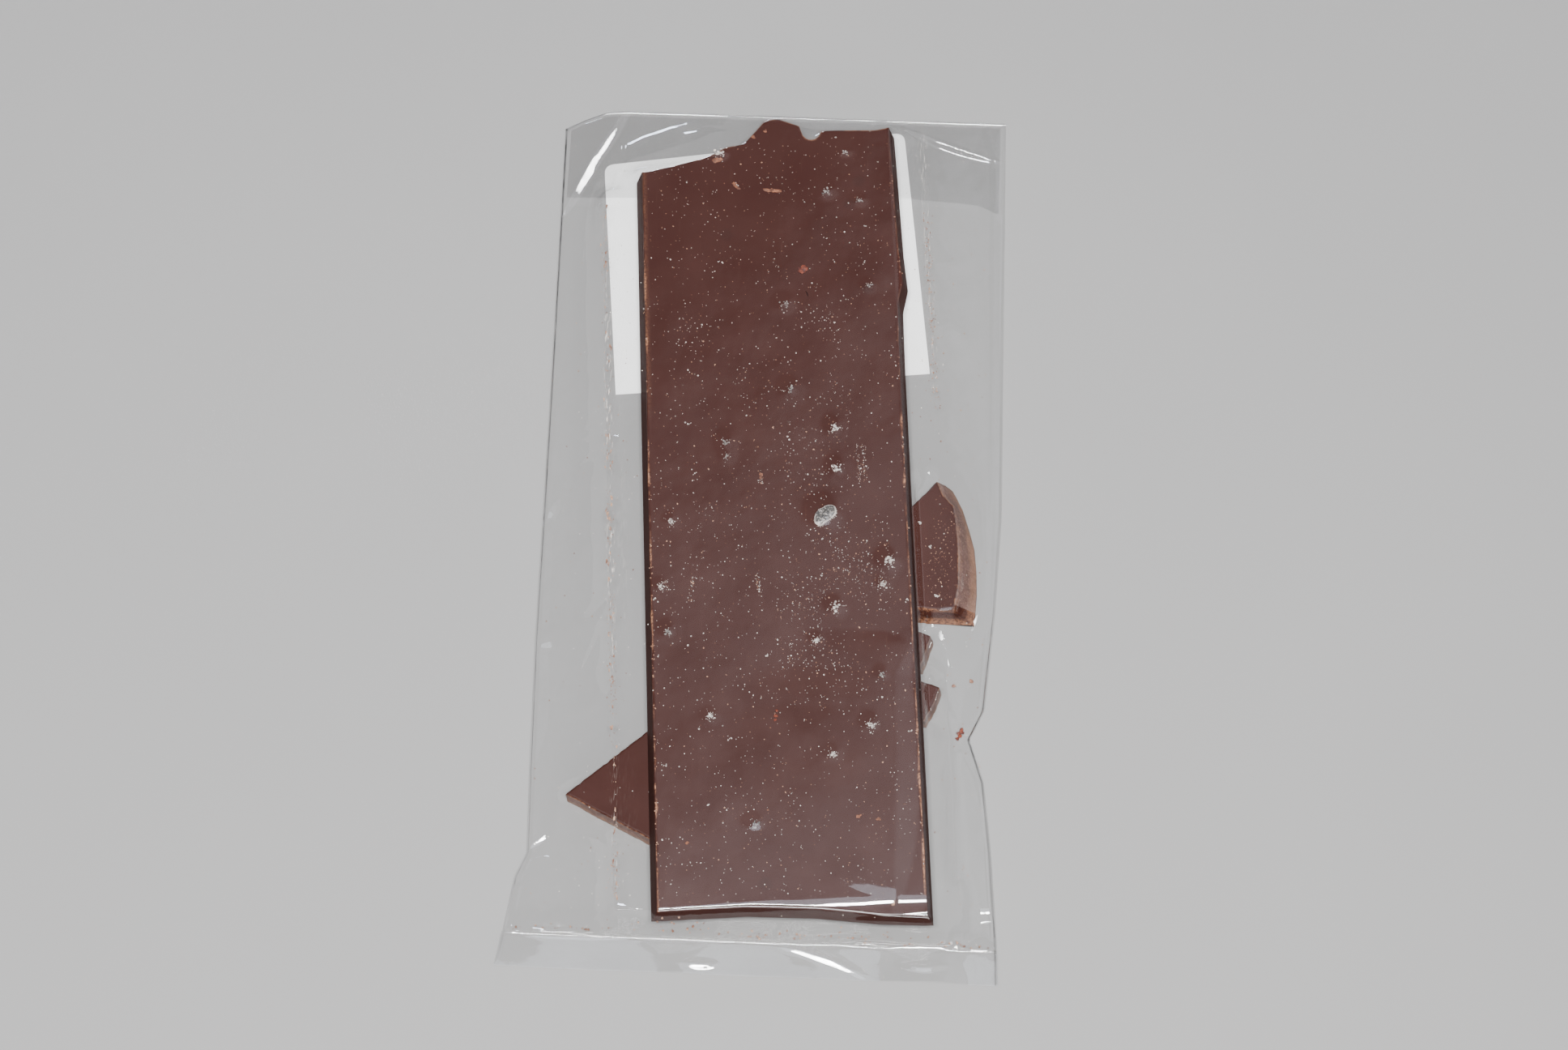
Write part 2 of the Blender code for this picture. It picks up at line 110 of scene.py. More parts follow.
# The film keeps a crease from the slab's first place, left of it, and meets the back film right of it
CREASE_OFFSET = 7.5
CREASE_FOOT = 10.2
CREASE_DROP = 1.1
CREASE_SINK = 3.2
CREASE_START = 0.1
CREASE_SPAN = (1, 178)
TOUCHDOWN_OFFSET = 5.5
TOUCHDOWN_SPAN = (8, 56)
TOUCHDOWN_HEIGHT = 1.6
FILM_OVERHANG = 1.6
SHARD_HUG = 1.5
# Over the left shard, which is this far along the slab, it slopes up to the slab
LEFT_SHARD_ALONG = 36.0
LEFT_SHARD_LEAN = 0.13
# The folded corner lies flat left of a line: a point on it, the way across it, and how far past it
FLAT_CORNER = ((-45.7, 93.4), (0.905, -0.426), 2.5)
FLAT_CORNER_FROM = 78.0
LINE_TOLERANCE = 0.1

# Where the burr on the slab's long edges is thick: (0 on the left or 1 on the right, along, reach)
BURR_PATCHES = [
    (0, 152.2, 3.4), (0, 137.6, 1.5), (0, 102.6, 2.6), (0, 85.1, 3.0), (0, 69.5, 1.2), (0, 24.0, 1.4),
    (1, 115.2, 1.9), (1, 101.1, 1.5), (1, 40.8, 1.6), (1, 29.4, 2.2), (1, 9.5, 4.5),
]

# Shards under and beside the slab
SHARD_THICKNESS = 5.5
SHARD_FLOOR = 0.3
SHARD_TOP = SHARD_FLOOR + SHARD_THICKNESS
RIGHT_SHARD = [
    (38.7, 10.5), (40.3, 6.9), (42.5, 4.6), (43.4, 0.0), (44.0, -7.0), (44.1, -15.0), (43.2, -21.3),
    (35.1, -20.7), (16.0, -22.0), (6.0, -9.0), (9.0, 5.0), (24.0, 1.5), (33.1, 3.8),
]
LEFT_SHARD = [(-41.6, -68.1), (-22.6, -77.6), (-6.0, -80.0), (-4.0, -50.0), (-14.0, -43.5)]
SMALL_SHARD_A = [(35.4, -26.4), (38.2, -27.4), (36.0, -34.8), (26.0, -33.0), (27.0, -24.0)]
SMALL_SHARD_B = [
    (36.1, -38.1), (40.5, -39.6), (39.5, -42.8), (37.3, -47.5), (27.0, -46.0), (28.0, -37.0),
]
# Each with its top outline, and how far its foot spreads to the right and to the weld
SHARDS = [
    ("right_shard", RIGHT_SHARD, (4.3, -1.6)),
    ("left_shard", LEFT_SHARD, (0.0, 0.0)),
    ("small_shard_a", SMALL_SHARD_A, (0.9, 0.0)),
    ("small_shard_b", SMALL_SHARD_B, (0.7, 0.0)),
]
BROKEN_SIDE_DEPTH = 6.0
BROKEN_END_DEPTH = 2.0
# The right shard's own foot on its broken side, as (along, across), and the groove in its top
RIGHT_SHARD_FOOT = [
    (-23.2, 48.3), (-15.1, 48.7), (-9.6, 48.5), (-4.0, 47.9),
    (0.7, 46.6), (5.7, 45.0), (9.1, 43.3), (11.0, 42.2),
]
SHARD_GROOVE = [(41.2, 2.0), (40.2, -6.0), (39.7, -13.0), (39.6, -19.0)]
# Mesh of a shard: spacing round it, rings of its top as shares of the way out, and rings of its sides
SHARD_STEP = 0.42
SHARD_TOP_RINGS = [*np.linspace(0.04, 0.9, 22), 0.93, 0.955, 0.972, 0.985, 0.994, 1.0]
SHARD_SIDE_RINGS = 10
# How crumbly its sides are, as (ring, share)
SHARD_SIDE_LIP = [(0, 0.3), (1, 0.0), (4, 0.1), (6, 0.6), (9, 0.9)]

# Salt on the slab: (across, along, size) in the slab's own plan
SALT_HEAPS = [
    (44.3, 114.4, 2.4), (44.5, 104.2, 2.6), (55.5, 81.1, 3.2), (43.0, 70.3, 2.8), (53.8, 75.3, 2.0),
    (6.5, 92.4, 1.8), (3.8, 76.5, 2.0), (38.4, 62.5, 1.8), (49.8, 42.0, 2.4), (41.1, 35.3, 1.9),
    (14.3, 45.1, 2.0), (19.8, 186.3, 2.4),
]
# Heaps that have half sunk into the chocolate, and look grey
SUNK_HEAPS = [
    (44.8, 175.3, 2.6), (19.4, 111.7, 2.2), (19.5, 108.1, 1.8), (5.1, 65.7, 2.4),
    (52.8, 53.7, 2.2), (23.3, 19.7, 2.6), (33.9, 146.3, 2.4), (53.7, 150.3, 1.9),
    (52.5, 172.7, 2.0), (49.6, 185.7, 1.8), (34.6, 124.5, 2.6),
]
# The one whole crystal's outline in the slab's plan
WHOLE_CRYSTAL = [
    (42.9, 95.0), (43.5, 94.8), (43.9, 94.2), (44.0, 92.9), (43.5, 92.3), (42.4, 91.5), (41.8, 91.1),
    (40.7, 90.3), (40.3, 89.9), (39.7, 90.3), (39.1, 90.7), (39.0, 91.8), (39.2, 92.8), (39.5, 93.4),
    (40.2, 94.1), (40.8, 94.2), (41.5, 94.8), (42.3, 95.0),
]
WHOLE_CRYSTAL_MIDDLE = (41.6, 92.6)
WHOLE_CRYSTAL_SIZE = 4.6
# Its rings from the foot up, as (share of the way out, height)
WHOLE_CRYSTAL_RINGS = [
    (1.0, 0.0), (1.04, 0.3), (1.0, 0.6), (0.93, 0.84), (0.84, 0.95), (0.72, 1.0),
    (0.6, 1.02), (0.48, 1.04), (0.36, 1.05), (0.24, 1.06), (0.12, 1.06),
]
SALT_SPECKS = [
    (58.9, 71.4), (11.8, 104.1), (10.8, 116.5), (2.5, 73.4), (27.0, 59.4), (42.1, 56.0), (18.3, 39.8),
    (3.7, 34.2), (13.1, 24.7), (58.5, 40.2), (40.0, 77.9), (53.2, 156.4), (1.6, 146.3), (19.5, 157.3),
    (23.8, 177.9),
]
SALT_ON_SHARD = [(39.3, -17.8, 1.0), (37.5, -5.7, 0.9), (34.9, 0.0, 0.8)]
# Fine dust on the slab: (across, along, spread, count), and streaks of it as two ends each
DUST_PATCHES = [
    (42.9, 141.4, 2.6, 60), (36.3, 72.2, 3.0, 130), (45.9, 81.7, 3.4, 150), (32.1, 59.2, 1.6, 45),
    (38.7, 61.5, 2.0, 40), (12.6, 138.4, 2.4, 40), (46.4, 119.7, 3.0, 50), (26.1, 124.4, 3.0, 30),
    (14.1, 92.6, 3.5, 40), (50.9, 76.0, 3.0, 90), (35.8, 107.9, 3.0, 40), (38.3, 99.8, 3.0, 40),
    (25.7, 51.3, 3.0, 35), (42.9, 54.6, 3.4, 60), (17.7, 23.3, 3.0, 25), (45.5, 5.8, 3.0, 30),
]
DUST_STREAKS = [
    ((49.4, 110.5), (49.7, 100.1), 60), ((50.9, 110.0), (51.0, 101.0), 40),
    ((25.5, 78.6), (26.2, 73.0), 46), ((11.2, 79.1), (10.2, 72.5), 34),
    ((4.2, 78.6), (5.6, 75.5), 16), ((27.1, 104.5), (27.1, 100.8), 12),
]
DUST_COUNT = 2600
# This share of the dust is chocolate, and the rest is salt
CHOCOLATE_DUST_SHARE = 0.35
# Crumbs tried along the slab's edges, in the film's crease, by the far end, by the weld, loose, and on
# the right shard: those that fall between the patches are left out
EDGE_CRUMBS = 360
FILM_CRUMBS = 1100
FAR_CRUMBS = 150
WELD_CRUMBS = 110
LOOSE_CRUMBS = 500
SHARD_CRUMBS = 160
# Chips of chocolate on the slab: (across, along, length, width, turn)
CHIPS = [
    (19.2, 184.6, 2.6, 1.4, 0.25), (23.5, 177.7, 2.4, 0.8, -1.1), (31.8, 176.1, 2.8, 1.1, 0.1),
    (28.0, 190.6, 1.2, 0.7, 0.6), (31.0, 192.0, 0.9, 0.6, 0.3), (27.1, 103.0, 1.4, 0.6, 1.4),
    (46.1, 20.9, 1.3, 0.8, 0.7), (8.3, 16.0, 0.9, 0.6, 0.0), (50.5, 20.1, 1.1, 0.8, 0.4),
]
# Chili flakes on the slab: (across, along, size)
CHILI_ON_SLAB = [
    (38.9, 155.2, 1.5), (38.2, 154.7, 1.3), (28.7, 44.8, 0.7), (28.5, 43.8, 0.5), (28.9, 46.0, 0.5),
]
# Loose flakes and large crumbs in the bag, and one crumb on the slab
CHILI_IN_BAG = [(45.1, -49.9), (45.6, -49.3), (45.3, -48.6), (46.1, -48.4), (45.9, -47.8)]
CRUMBS_IN_BAG = [(44.0, -37.3), (47.8, -36.0)]
CRUMB_ON_SLAB = (52.8, 0.8)

# Label: paper stuck to the back of the bag, over the folded end
LABEL_CORNERS = [(-36.7, 31.6), (36.5, 40.0), (28.6, 103.4), (-43.0, 91.6)]
LABEL_ROUNDING = 2.5
LABEL_THICKNESS = 0.14

# The folded end's cut edge on the back, as (across, along)
FLAP_EDGE = [
    (-50.5, 82.5), (-42.7, 82.8), (-20, 84.6), (5, 85.9),
    (31.2, 85.6), (42.0, 85.0), (47.1, 84.3), (51.0, 82.3),
]

# Creases and rolls of the front film: line, height, how far each flank runs on the line's left and
# right, and how much of a flank is the round of its crest. A flank past this width is soft all over
SHARP = 0.15
ROUND = 0.7
WIDE_FLANK = 20.0
CREASES = [
    # Roll over the slab's near end, and the slack facet beside its right edge
    (
        [(-50, -99), (-20.6, -95.5), (-2.5, -93.3), (12.5, -91.95), (31.4, -90.3), (70, -88)],
        1.45, 60.0, 4.7, ROUND,
    ),
    ([(33.6, -31), (30.4, -39.1), (30.0, -46.3), (31.1, -63.3), (32.0, -90.9)], 0.75, 5.5, 40.0, SHARP),
    # Small folds that fan out from the weld, and the folds along it
    ([(6.2, -99.3), (7.0, -98.0), (8.4, -96.4)], 1.2, 1.6, 1.2, SHARP),
    ([(7.6, -99.4), (13.7, -98.3), (20.6, -97.7), (27.0, -97.4)], 0.8, 1.2, 0.8, SHARP),
    ([(-51.5, -97.1), (-39.7, -95.9), (-31.0, -95.2), (-24.5, -95.6)], 0.7, 2.0, 1.6, SHARP),
    # Skirt: one curved fold and two bumps of its hem
    (
        [(6.1, -99.6), (12.5, -100.8), (18.9, -102.7), (23.4, -104.8), (26.0, -106.4)],
        0.4, 1.2, 1.0, SHARP,
    ),
    ([(-13.5, -104.4), (-10, -104.6), (-6.5, -104.4)], 0.35, 1.2, 1.2, ROUND),
    ([(34, -103.0), (39, -103.3), (44, -102.9)], 0.35, 1.4, 1.4, ROUND),
    # Slack pocket left of the slab's near end
    (
        [
            (-50.3, -79.8), (-46.0, -76.1), (-41.1, -74.6), (-37.1, -75.7),
            (-33.4, -79.0), (-30.4, -83.0), (-29.1, -90.0),
        ],
        0.5, 1.2, 1.4, 0.5,
    ),
    (
        [(-49.7, -81.3), (-45.9, -81.6), (-40.9, -83.2), (-36.8, -85.8), (-33.6, -88.7)],
        0.4, 1.2, 1.3, 0.5,
    ),
    # Left of the slab
    (
        [(-51.5, 20.5), (-46.0, 18.3), (-39.3, 17.0), (-33.7, 15.8), (-29.8, 13.9)],
        0.6, 1.2, 1.6, SHARP,
    ),
    ([(-46.1, 19.8), (-35.9, 22.2), (-31, 22.8)], 0.4, 1.2, 1.4, SHARP),
    ([(-52.0, -1.2), (-46.4, 8.4), (-42.4, 12.0), (-36.0, 15.0)], 0.55, 2.2, 4.0, SHARP),
    ([(-51.6, -31.5), (-43.9, -29.3), (-39.0, -26.6), (-33.0, -20)], 0.5, 3.0, 2.0, SHARP),
    ([(-41.5, -42.4), (-39.7, -38.5), (-36.6, -30.5)], 0.45, 1.5, 2.5, SHARP),
    # Around the folded end
    (
        [(-52.4, 77.2), (-48.4, 87.2), (-45.7, 93.4), (-42.7, 99.2), (-37.6, 109.0)],
        1.45, 1.2, 2.25, SHARP,
    ),
    ([(-39.2, 99.0), (-39.3, 90.1), (-39.6, 82.0)], 0.45, 0.8, 0.8, SHARP),
    ([(17.0, 106.0), (33.2, 101.6), (42.1, 98.9), (52.0, 95.9)], 1.3, 1.2, 1.6, 0.4),
    ([(47.8, 105.5), (50.6, 97.5), (51.2, 83.0)], 0.4, 1.2, 1.0, SHARP),
    (
        [(-33.0, 96.9), (-24, 100.6), (-18.4, 101.8), (-10, 99.0), (-6, 97.2)],
        0.2, 1.0, 1.0, SHARP,
    ),
    ([(12, 101.0), (19, 103.2), (26, 102.3)], 0.4, 1.0, 1.4, SHARP),
    # Right of the slab
    (
        [(46.0, -53.2), (49.4, -58.9), (52.0, -68.0), (53.0, -85.0), (53.8, -97.0)],
        0.35, 1.4, 0.8, SHARP,
    ),
    (
        [(50.4, 98.2), (51.4, 40.0), (51.7, 11.8), (51.6, -18.2), (49.6, -43.6)],
        0.16, 1.0, 1.0, SHARP,
    ),
    ([(46.4, -52.5), (41.0, -58.0), (38.5, -66.0)], 0.3, 2.5, 1.5, SHARP),
    ([(47.5, -51.8), (44.0, -45.5), (40.5, -40.0)], 0.2, 1.8, 1.4, SHARP),
]
# Right of here the film leaves the weld at a low slope before it rises to the slab
WELD_LEDGE_FROM = 24.0
WELD_LEDGE_DEPTH = 0.9
WELD_LEDGE_SLOPE = 0.33
# Dents in the bag's edge, where small folds run out: (across, along, depth, width)
EDGE_DENTS = [
    (-51.4, -85.9, 0.5, 2.2), (-51.6, -1.2, 0.45, 2.4), (-52.6, 100.3, 0.4, 2.0), (47.6, -50.6, 0.5, 3.0),
]

# Studio: the camera in metres, and the floor
CAMERA_PLACE = Vector((0.01684, -0.3066, 0.7607))
CAMERA_AIM = Vector((0.00405, -0.00155, 0.005))
CAMERA_ROLL = math.radians(2.4)
FLOOR_REACH = 3000
# The room's brightest way, and how bright it is at an angle from there, as (cosine, level)
SKY_CENTRE = (0.5, -0.1, 0.86)
SKY = [(0.70, 0.05), (0.755, 0.42), (0.79, 0.36), (0.88, 0.80), (1.0, 0.85)]


# Sheets, outlines and heights


def soft_noise(x, y, size, seed):
    """Smooth random heights from -1 to 1, with bumps about this size, in the units of x and y."""
    table = np.random.default_rng(seed).uniform(-1, 1, (128, 128))
    u, v = np.asarray(x) / size, np.asarray(y) / size
    i, j = np.floor(u).astype(int), np.floor(v).astype(int)
    s, t = u - i, v - j
    s, t = s * s * (3 - 2 * s), t * t * (3 - 2 * t)
    low = table[i % 128, j % 128] * (1 - s) + table[(i + 1) % 128, j % 128] * s
    high = table[i % 128, (j + 1) % 128] * (1 - s) + table[(i + 1) % 128, (j + 1) % 128] * s
    return low * (1 - t) + high * t


def faceted_noise(x, y, size, seed):
    """Random heights from 0 to 1 with sharp ridges between even slopes, as in stiff creased film."""
    coarse = 1 - np.abs(soft_noise(x, y, size, seed)) * 2
    fine = 1 - np.abs(soft_noise(x + 0.4 * y, y - 0.3 * x, size * 0.45, seed + 1)) * 2
    return coarse + 0.4 * fine


def grid_faces(rows, columns, start=0, facing=1):
    """Quads of a grid whose rows run along +Y and columns along +X: they face up, or down for -1."""
    at = np.arange(rows * columns).reshape(rows, columns) + start
    quads = np.stack([at[:-1, :-1], at[:-1, 1:], at[1:, 1:], at[1:, :-1]], axis=-1)
    return quads.reshape(-1, 4)[:, ::facing].tolist()


def bands(rings):
    """Quads from each ring of point numbers to the next, where all run the same way round."""
    quads = []
    for one, other in zip(rings, rings[1:]):
        quads += np.stack([one, other, np.roll(other, -1), np.roll(one, -1)], axis=1).tolist()
    return quads


def ramp(value, start, length):
    """Rises from 0 at the start to 1 a length further on, or further back where it is negative."""
    return np.clip((value - start) / length, 0, 1)


def bell(value, middle, reach):
    """1 in the middle, and falling softly to both sides."""
    return np.exp(-((value - middle) / reach) ** 2)


def new_piece(name, points, faces, surfaces, slots=None, sharp=None):
    """A smooth mesh object at the origin, from points in millimetres."""
    mesh = bpy.data.meshes.new(name)
    mesh.from_pydata((np.asarray(points, float) * MM).tolist(), [], faces)
    for surface in surfaces:
        mesh.materials.append(surface)
    if slots is not None:
        mesh.polygons.foreach_set("material_index", slots)
    mesh.shade_smooth()
    if sharp is not None:
        mesh.set_sharp_from_angle(angle=math.radians(sharp))
    obj = bpy.data.objects.new(name, mesh)
    bpy.context.scene.collection.objects.link(obj)
    return obj


def paint(obj, name, values):
    """Keeps a number for each point of the piece, which its material reads."""
    attribute = obj.data.attributes.new(name, "FLOAT", "POINT")
    attribute.data.foreach_set("value", np.asarray(values, np.float32).ravel())


def stack(x, y, z):
    return np.stack([x, y, z], axis=-1).reshape(-1, 3)


def beside_line(x, y, line):
    """Each point's distance from a line, its side of it (left is over 0) and its share along it."""
    spans = [math.dist(a, b) for a, b in zip(line, line[1:])]
    nearest, side, share = (np.full(np.shape(x), value) for value in (np.inf, 0.0, 0.0))
    start = 0.0
    for (ax, ay), (bx, by), span in zip(line, line[1:], spans):
        ex, ey = bx - ax, by - ay
        t = np.clip(((x - ax) * ex + (y - ay) * ey) / (span * span), 0, 1)
        dx, dy = x - ax - t * ex, y - ay - t * ey
        closer = np.hypot(dx, dy) < nearest
        nearest = np.where(closer, np.hypot(dx, dy), nearest)
        side = np.where(closer, ex * dy - ey * dx, side)
        share = np.where(closer, (start + t * span) / sum(spans), share)
        start += span
    return nearest, side, share


def depth_inside(x, y, outline):
    """How far points lie inside a closed outline: negative outside."""
    inside = np.zeros(np.shape(x), bool)
    for (ax, ay), (bx, by) in zip(outline, outline[1:] + outline[:1]):
        if ay != by:
            crosses = (ay > y) != (by > y)
            inside ^= crosses & (x < (bx - ax) * (y - ay) / (by - ay) + ax)
    nearest = beside_line(x, y, outline + outline[:1])[0]
    return np.where(inside, nearest, -nearest)


def resampled(line, step):
    """Points along a line at about this spacing, its corners among them, without its last point."""
    points = []
    for a, b in zip(line, line[1:]):
        count = max(1, round(math.dist(a, b) / step))
        for i in range(count):
            t = i / count
            points.append((a[0] * (1 - t) + b[0] * t, a[1] * (1 - t) + b[1] * t))
    return points


# The bag's plan and what lies in it


def left_edge(along):
    return np.interp(along, *zip(*LEFT_PULL)) - BAG_WIDTH / 2


def right_edge(along):
    return BAG_WIDTH / 2 - np.interp(along, *zip(*RIGHT_PULL))


def fold_at(across):
    return np.interp(across, *zip(*FOLD_LINE))


def hem_height(across):
    """Height of the loose hem's waves, rounded between their crests and troughs."""
    places, heights = (np.array(row) for row in zip(*HEM_WAVES))
    place = np.interp(across, places, np.arange(len(places)))
    low = np.minimum(place.astype(int), len(places) - 2)
    blend = 0.5 - 0.5 * np.cos(math.pi * (place - low))
    return heights[low] * (1 - blend) + heights[low + 1] * blend


def slab_to_bag(across, along):
    """The slab's own plan turned into the bag's."""
    c, s = math.cos(SLAB_TURN), math.sin(SLAB_TURN)
    return SLAB_CORNER[0] + across * c - along * s, SLAB_CORNER[1] + across * s + along * c


def bag_to_slab(x, y):
    c, s = math.cos(SLAB_TURN), math.sin(SLAB_TURN)
    dx, dy = x - SLAB_CORNER[0], y - SLAB_CORNER[1]
    return dx * c + dy * s, dy * c - dx * s


def slab_underside(y):
    return SLAB_CORNER[2] - SLAB_FALL * (y - SLAB_CORNER[1])


def slab_top(y):
    return slab_underside(y) + SLAB_THICKNESS


def slab_near(across):
    return np.interp(across, *zip(*SLAB_NEAR_END))


def slab_right(along):
    stations = [(v, u) for u, v in SLAB_RIGHT_SIDE]
    return np.interp(along, *zip(*stations)) - SLAB_DRAFT


def slab_far(across):
    """Where the break runs, with its round bite."""
    far = np.interp(across, *zip(*SLAB_BREAK))
    reach = NOTCH_RADIUS ** 2 - (across - NOTCH_CENTRE[0]) ** 2
    bite = NOTCH_CENTRE[1] - np.sqrt(np.maximum(reach, 0))
    return np.where(reach > 0, np.minimum(far, bite), far)


def slab_outline(draft, near_draft):
    """The outline of the slab's top face, or with no draft of its foot, in the bag's plan."""
    across = np.linspace(draft, SLAB_WIDTH - draft, 60)
    near = [(a, float(slab_near(a)) + near_draft) for a in across]
    far = [(a, float(slab_far(a))) for a in across[::-1]]
    return [tuple(map(float, slab_to_bag(a, b))) for a, b in near + far]


def film_rest(x, y):
    """The height that the front film lies on: the slab, its salt and its old crease, and the shards."""
    height = np.full(x.shape, EDGE_HEIGHT)
    over_slab = slab_top(y) + FILM_GAP
    depth = depth_inside(x, y, slab_outline(SLAB_DRAFT, NEAR_DRAFT))
    in_foot = depth_inside(x, y, slab_outline(0.0, 0.0))
    up_side = np.clip(in_foot / np.maximum(in_foot - np.minimum(depth, 0), 0.01), 0, 1)
    over_side = slab_underside(y) + SLAB_THICKNESS * up_side + FILM_GAP
    across, along = bag_to_slab(x, y)
    low, high = CREASE_SPAN
    on_crease = (across > -CREASE_OFFSET - LINE_TOLERANCE) & (across <= 0) & (along > low) & (along < high)
    drop = CREASE_DROP + CREASE_SINK * np.exp(-((along - LEFT_SHARD_ALONG) / 17) ** 4)
    crease = slab_top(y) - CREASE_START + drop * across / CREASE_OFFSET
    carried = [
        (depth > -FILM_OVERHANG, over_slab + np.minimum(depth, 0)),
        (in_foot > -0.3, over_side),
        (on_crease, crease),
    ]
    carried += [(depth_inside(x, y, outline) > -0.3, SHARD_TOP + FILM_GAP) for _, outline, _ in SHARDS]
    for a, b, size in [(*WHOLE_CRYSTAL_MIDDLE, WHOLE_CRYSTAL_SIZE), *SALT_HEAPS, *SUNK_HEAPS]:
        away = np.hypot(across - a, along - b) / (0.5 * size)
        tent = slab_top(y) + (0.22 * size + 0.1) * np.sqrt(np.clip(1 - away ** 2, 0, 1))
        carried.append((away < 1, tent))
    for over, level in carried:
        height = np.where(over, np.maximum(height, level), height)
    return height


def film_ceiling(x, y):
    """Upper bound of the film: on the back film right of the slab, and close over the shards."""
    across, along = bag_to_slab(x, y)
    low, high = TOUCHDOWN_SPAN
    past = across > SLAB_WIDTH + TOUCHDOWN_OFFSET - LINE_TOLERANCE
    ceiling = np.where(past & (along > low) & (along < high), TOUCHDOWN_HEIGHT, np.inf)
    from_weld = y - WELD_LINE
    on_ledge = (from_weld < WELD_LEDGE_DEPTH) & (x > WELD_LEDGE_FROM)
    ledge = WELD_HEIGHT + WELD_LEDGE_SLOPE * from_weld
    ceiling = np.where(on_ledge, np.minimum(ceiling, ledge), ceiling)
    beside = (across < -CREASE_FOOT + LINE_TOLERANCE) | (across > SLAB_WIDTH + SHARD_HUG / 3)
    for _, outline, _ in SHARDS:
        leaning = LEFT_SHARD_LEAN * np.clip(x - LEFT_SHARD[0][0], 0, None) * (x < 0)
        hugged = SHARD_TOP + FILM_GAP + leaning
        near = depth_inside(x, y, outline) > -SHARD_HUG
        ceiling = np.where(beside & near, np.minimum(ceiling, hugged), ceiling)
    (corner_x, corner_y), (across_x, across_y), reach = FLAT_CORNER
    from_crease = (x - corner_x) * across_x + (y - corner_y) * across_y
    return np.where((from_crease < reach) & (y > FLAT_CORNER_FROM), EDGE_HEIGHT, ceiling)


# Front film


def across_lines(along):
    """Where creases cross a row: edge, old crease's foot and top, slab's edges, touchdown, edge."""
    left_side = SLAB_CORNER[0] - (along - SLAB_CORNER[1]) * math.tan(SLAB_TURN)
    right_step = SLAB_WIDTH + TOUCHDOWN_OFFSET
    steps = (-CREASE_FOOT, -CREASE_OFFSET, SLAB_DRAFT, SLAB_WIDTH - SLAB_DRAFT, right_step)
    inner = [left_side + step / math.cos(SLAB_TURN) for step in steps]
    return [left_edge(along), *inner, right_edge(along)]


def columns_at(along, fineness):
    """The film's columns, where along holds the distance along the bag of each of their points."""
    lines = across_lines(along)
    across = np.empty(along.shape)
    column = 0
    for near, far, coarse in zip(lines, lines[1:], ZONE_COLUMNS):
        count = coarse * fineness
        for step in range(count + 1):
            share = step / count
            place = column + step
            across[:, place] = near[:, place] * (1 - share) + far[:, place] * share
        column += count
    return across


def film_plan(fineness):
    """Plan of the front film from the weld to the fold."""
    columns = sum(ZONE_COLUMNS) * fineness + 1
    rows = round((BAG_END - WELD_LINE) / ROW_LENGTH) * fineness
    share = np.linspace(0, 1, rows + 1)
    share = share - ROW_CROWDING * np.sin(2 * math.pi * share) / (2 * math.pi)
    along = np.repeat((WELD_LINE + (BAG_END - WELD_LINE) * share)[:, None], columns, axis=1)
    to_fold = np.clip(1 - (1 - share[:, None]) / FOLD_SHARE, 0, 1)
    along = along + (fold_at(columns_at(along, fineness)) - BAG_END) * to_fold
    return columns_at(along, fineness), along


def finer(z):
    """Heights on a grid twice as fine."""
    rows, columns = z.shape
    wide = np.empty((rows, 2 * columns - 1))
    wide[:, ::2] = z
    wide[:, 1::2] = (z[:, 1:] + z[:, :-1]) / 2
    long = np.empty((2 * rows - 1, 2 * columns - 1))
    long[::2] = wide
    long[1::2] = (wide[1:] + wide[:-1]) / 2
    return long


def relax(z, x, y, rest, ceiling, sag, rounds):
    """Lets the film hang as a slack skin between its edges, never under what it lies on."""
    side = 1 / np.hypot(np.diff(x, axis=1), np.diff(y, axis=1))
    end = 1 / np.hypot(np.diff(x, axis=0), np.diff(y, axis=0))
    weight = side[1:-1, :-1] + side[1:-1, 1:] + end[:-1, 1:-1] + end[1:, 1:-1]
    for _ in range(rounds):
        pull = side[1:-1, :-1] * z[1:-1, :-2] + side[1:-1, 1:] * z[1:-1, 2:]
        pull = pull + end[:-1, 1:-1] * z[:-2, 1:-1] + end[1:, 1:-1] * z[2:, 1:-1]
        slack = np.minimum(pull / weight - sag, ceiling[1:-1, 1:-1])
        z[1:-1, 1:-1] = np.maximum(slack, rest[1:-1, 1:-1])
    return z


def relaxed_film():
    """Plan and height of the front film over what the bag holds, from a coarse grid to a fine one."""
    z = None
    for fineness, rounds in zip(FINENESS, RELAX_ROUNDS):
        x, y = film_plan(fineness)
        rest, ceiling = film_rest(x, y), film_ceiling(x, y)
        z = np.maximum(rest, EDGE_HEIGHT) if z is None else finer(z)
        z[:, [0, -1]] = EDGE_HEIGHT
        z[-1, :] = EDGE_HEIGHT
        z[0, :] = WELD_HEIGHT
        z = relax(z, x, y, rest, ceiling, FILM_SAG / fineness ** 2, rounds)
    return x, y, z, rest


def crease_lift(x, y):
    """How far the creases and rolls lift the film: each runs out to a point at both of its ends."""
    lift = np.zeros(x.shape)
    for line, height, left_width, right_width, crest in CREASES:
        away, side, share = beside_line(x, y, line)
        taper = np.sqrt(np.sin(math.pi * np.clip(share, 0.004, 0.996)))
        width = np.where(side > 0, left_width, right_width)
        out = np.clip(away / (taper * width), 0, 1)
        flank = 2 * (1 - out) / (2 - crest)
        profile = np.where(out < crest, 1 - out ** 2 / (crest * (2 - crest)), flank)
        profile = np.where(width > WIDE_FLANK, (1 - out ** 2) ** 2, profile)
        lift = lift + height * taper * profile
    for across, along, depth, width in EDGE_DENTS:
        lift = lift - depth * np.clip(1 - np.hypot(x - across, y - along) / width, 0, 1)
    return lift


